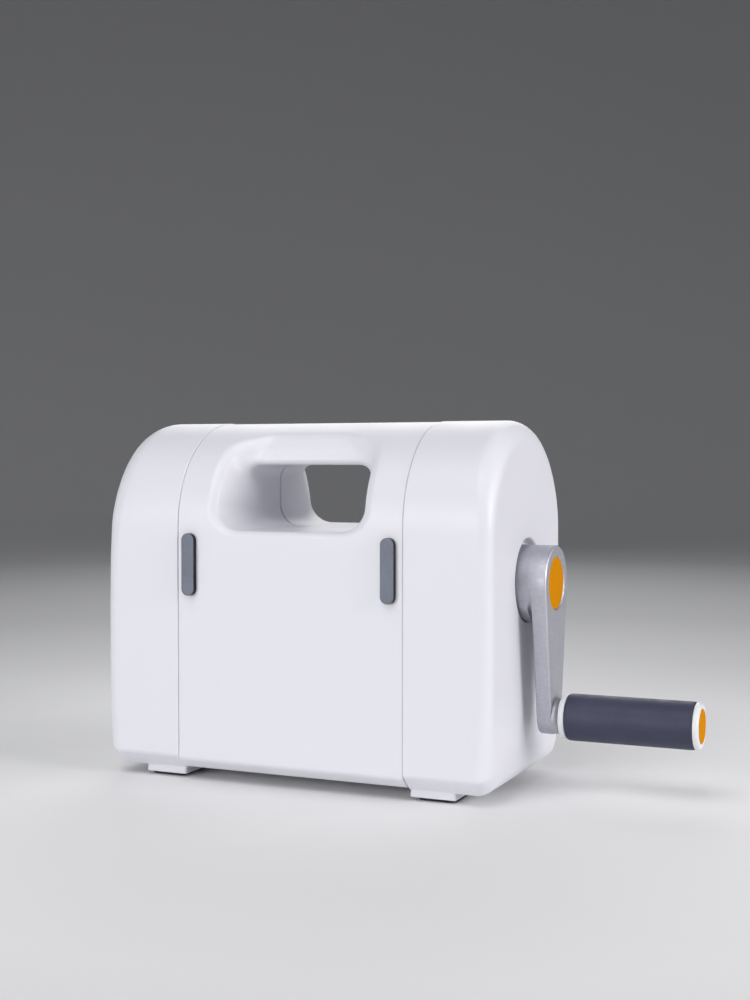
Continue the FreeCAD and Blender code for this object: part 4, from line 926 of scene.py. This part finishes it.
def crank_arm():
    x_back, x_in, x_out = 73.6, 82.5, 88.0
    verts, faces = [], []

    def ring(points):
        st = len(verts)
        verts.extend(points)
        return st

    base = arm_outline(0.0)
    n, n1 = len(base), 72

    def loop(x, inset):
        return ring([(x, y, z) for y, z, _ in arm_outline(inset)])

    # outer face, flat chamfer with eased edges, side, inner edge
    stack = [loop(x_out, 1.6), loop(x_out, 0.56), loop(x_out - 0.02, 0.47), loop(x_out - 0.40, 0.07), loop(x_out - 0.49, 0.0),
             loop(x_out - 0.8, 0.0), loop(x_in + 1.4, 0.0)]
    for k in range(0, 5):
        a = math.pi / 2 * k / 4
        pts = []
        for (y, z, w), (yi, zi, _) in zip(base, arm_outline(0.7 * (1 - math.cos(a)))):
            pts.append((x_in + 0.7 * (1 - math.sin(a)) * w, y + (yi - y) * w, z + (zi - z) * w)
                       if w > 0 else (x_in + 0.7 * (1 - k / 4), y, z))
        stack.append(ring(pts))
    faces.append(tuple(range(stack[0], stack[0] + n)))
    for p, q in zip(stack, stack[1:]):
        for i in range(n):
            j = (i + 1) % n
            faces.append((p + i, p + j, q + j, q + i))
    inner = stack[-1]
    # hub: the same circle over the top, below it a flare that runs out on the arm's sides
    phi = math.asin((HUB_R - TIP_R) / (HUB_Z - TIP_Z))
    a0, a1 = 2 * math.pi - phi, math.pi + phi
    reach = math.acos(HUB_R / (HUB_R + FLARE))
    under = [a1 + reach * k / 4 for k in range(1, 5)]
    under += [a1 + reach + (a0 - a1 - 2 * reach) * k / 40 for k in range(1, 40)]
    under += [a0 - reach + reach * k / 4 for k in range(0, 4)]

    def hub(x, flare, inset=0.0):
        pts = [(x, y * (HUB_R - inset) / HUB_R, HUB_Z + (z - HUB_Z) * (HUB_R - inset) / HUB_R) for y, z, _ in base[:n1 + 1]]
        for a in under:
            limit = min(HUB_R / max(0.2, math.cos(a - a1)), HUB_R / max(0.2, math.cos(a0 - a)))
            r = min(HUB_R + flare, limit) - inset
            pts.append((x, r * math.cos(a), HUB_Z + r * math.sin(a)))
        return ring(pts)

    m = n1 + 1 + len(under)
    hubs = [hub(x_in, FLARE)]
    for k in range(1, 8):
        a = math.pi / 2 * k / 7
        hubs.append(hub(x_in - FLARE * math.sin(a), FLARE * (1 - math.cos(a))))
    hubs.append(hub(x_back + 1.5, 0.0))
    for k in range(0, 5):
        a = math.pi / 2 * k / 4
        hubs.append(hub(x_back + 0.6 * (1 - math.sin(a)), 0.0, 0.6 * (1 - math.cos(a))))
    hubs.append(hub(x_back, 0.0, 1.6))
    for p, q in zip(hubs, hubs[1:]):
        for i in range(m):
            j = (i + 1) % m
            faces.append((p + i, p + j, q + j, q + i))
    faces.append(tuple(range(hubs[-1] + m - 1, hubs[-1] - 1, -1)))
    # inner face of the arm below the flare; its ends meet the sides at the last flare points
    first = hubs[0]
    arc = [first + n1 + 4 + k for k in range(len(under) - 6)]
    low = [inner + i for i in range(n1 + 5, n - 4)]
    faces.append(tuple(low + arc[::-1]))
    return raw_object("crank_arm_body", verts, faces)


arm = crank_arm()
combine(arm, lathe("boss", [(86.0, 6.42), (88.6, 6.42)] + quarter(88.7, 6.42, 90.15, 4.7, 8) + [(90.1, 3.3)], 0.0, TIP_Z, 72),
        "UNION")
combine(arm, lathe("cap_seat", [(86.3, 9.5), (87.6, 9.5), (88.1, 9.95), (89.5, 9.95)], 0.0, HUB_Z, 96), "DIFFERENCE")
combine(arm, lathe("cap_well", [(84.2, 3.8), (87.0, 3.8)], 0.0, HUB_Z, 64), "DIFFERENCE")
combine(arm, lathe("shaft_bore", [(72.0, 4.0), (85.0, 4.0)], 0.0, HUB_Z, 64), "DIFFERENCE")
finish_piece(arm, "silver_paint", "crank", ("crank_arm",), sharp=38.0)

cap = lathe("hub_cap_disc", [(86.32, 9.0), (86.32, 9.44), (87.4, 9.44)] + quarter(87.4, 9.44, 87.68, 9.15, 4)
            + [(87.68, 8.0), (87.76, 5.0), (87.8, 2.0), (87.8, 0.3)], 0.0, HUB_Z, 96)
finish_piece(cap, "orange_cap", "crank", ("hub_cap",), sharp=60.0)

core = lathe("grip_collar", [(90.7, 3.05), (90.45, 3.2), (90.4, 3.6), (90.4, 6.7)] + quarter(90.4, 6.7, 91.3, 7.9, 6, False)
             + [(91.7, 8.1), (92.4, 8.1), (92.75, 7.9), (92.8, 7.6), (92.8, 5.6), (134.7, 5.6), (134.7, 3.05)],
             0.0, TIP_Z, 96, closed=True)
finish_piece(core, "white_trim", "grip", ("grip_core",), sharp=50.0)

sleeve = lathe("grip_sleeve_tube", [(92.8, 5.62), (92.8, 7.3)] + quarter(92.8, 7.3, 93.8, 8.35, 6, False)
               + [(94.8, 8.4), (104.0, 8.4), (114.7, 8.4), (126.0, 8.4), (136.6, 8.4)] + quarter(137.4, 8.37, 138.2, 7.7, 6)
               + [(138.2, 5.62)], 0.0, TIP_Z, 96, closed=True)
finish_piece(sleeve, "slate_sleeve", "grip", ("grip_sleeve",), sharp=60.0)

end_cap = lathe("grip_end_ring", [(135.2, 4.7), (137.4, 4.7), (137.4, 0.2), (139.7, 0.2), (139.7, 6.05), (140.1, 6.05), (140.25, 6.2),
                                  (140.3, 6.45)] + quarter(140.3, 6.95, 139.3, 8.15, 7, False)[0:]
                + [(138.7, 8.18), (138.4, 8.12), (138.25, 7.9), (138.2, 7.6), (138.2, 5.55), (135.2, 5.55)], 0.0, TIP_Z, 96,
                closed=True)
finish_piece(end_cap, "white_trim", "grip", ("grip_end_cap",), sharp=50.0)

disc = lathe("grip_end_disc", [(139.7, 5.7), (139.7, 5.96), (140.25, 5.96)] + quarter(140.25, 5.96, 140.42, 5.75, 4)
             + [(140.46, 4.5), (140.49, 2.5), (140.5, 0.3)], 0.0, TIP_Z, 96)
finish_piece(disc, "orange_cap", "grip", ("grip_disc",), sharp=60.0)

# ------------------------------------------------------------------- stage
def studio_floor():
    prof = [(0.0, 0.0), (0.6, 0.0), (1.2, 0.0)]
    for k in range(1, 13):
        a = math.pi / 2 * k / 12
        prof.append((1.2 + 1.0 * math.sin(a), 1.0 * (1 - math.cos(a))))
    prof += [(2.2, 2.2)]
    n = 96
    verts, faces = [(0.0, 0.0, 0.0)], []
    for r, z in prof[1:]:
        for i in range(n):
            a = 2 * math.pi * i / n
            verts.append((r * math.cos(a), r * math.sin(a), z))
    for i in range(n):
        faces.append((0, 1 + i, 1 + (i + 1) % n))
    for k in range(len(prof) - 2):
        a, b = 1 + k * n, 1 + (k + 1) * n
        for i in range(n):
            j = (i + 1) % n
            faces.append((a + i, b + i, b + j, a + j))
    me = bpy.data.meshes.new("studio_floor")
    me.from_pydata(verts, [], faces)
    for p in me.polygons:
        p.use_smooth = True
    obj = bpy.data.objects.new("studio_floor", me)
    scene.collection.objects.link(obj)
    p = Paint("studio_paper_painted_falloff", Roughness=0.85, Specular_IOR_Level=0.2)
    away = p.node("ShaderNodeVectorMath", operation="LENGTH")
    p.link(p.coord.outputs["Object"], away.inputs[0])
    # painted light and shade: the paper is painted bright round the object and darker with distance, standing in for
    # the fall-off of the studio light on floor and backdrop
    painted_falloff = p.ramp(p.span(away.outputs["Value"], 0.0, 1.0, 0.0, 2.4),
                 [(0.0, (0.880, 0.882, 0.885)), (0.09, (0.865, 0.867, 0.870)), (0.15, (0.700, 0.702, 0.705)),
                  (0.24, (0.550, 0.552, 0.555)), (0.42, (0.460, 0.462, 0.465)), (1.0, (0.380, 0.382, 0.385))])
    p.colour(p.blend(p.span(p.noise(3.0, 3.0, 0.5), 0.0, 0.03, 0.3, 0.7), painted_falloff, (0.45, 0.45, 0.455)))
    p.bump(p.noise(1600.0, 2.0, 0.6), 0.00002, 0.3)
    me.materials.append(p.mat)


studio_floor()

world = bpy.data.worlds.new("studio_world")
scene.world = world
world.use_nodes = True
world.node_tree.nodes["Background"].inputs["Color"].default_value = (0.93, 0.95, 1.0, 1.0)
world.node_tree.nodes["Background"].inputs["Strength"].default_value = 0.23


def area_light(name, place, aim, size, energy, colour=(1.0, 1.0, 1.0), spread=180.0):
    data = bpy.data.lights.new(name, "AREA")
    data.energy = energy
    data.color = colour
    data.size = size
    data.spread = math.radians(spread)
    obj = bpy.data.objects.new(name, data)
    scene.collection.objects.link(obj)
    obj.location = place
    obj.rotation_mode = "QUATERNION"
    obj.rotation_quaternion = (Vector(aim) - Vector(place)).to_track_quat("-Z", "Y")
    return obj


area_light("front_light", (-0.46, -1.35, 0.29), (-0.02, 0.0, 0.06), 0.7, 3.75, spread=110.0)
area_light("side_light", (1.38, -0.1, 0.46), (0.04, 0.0, 0.07), 0.6, 4.2, (1.0, 0.985, 0.995), 110.0)
area_light("corner_light", (1.1, 0.6, 0.5), (0.04, 0.0, 0.07), 0.6, 1.0, spread=110.0)
area_light("top_light", (-0.1, -0.8, 1.2), (-0.02, 0.0, 0.08), 0.8, 6.4, (1.0, 0.99, 1.0))
area_light("back_light", (-0.45, 1.1, 0.7), (-0.02, 0.0, 0.08), 0.9, 2.2, spread=110.0)
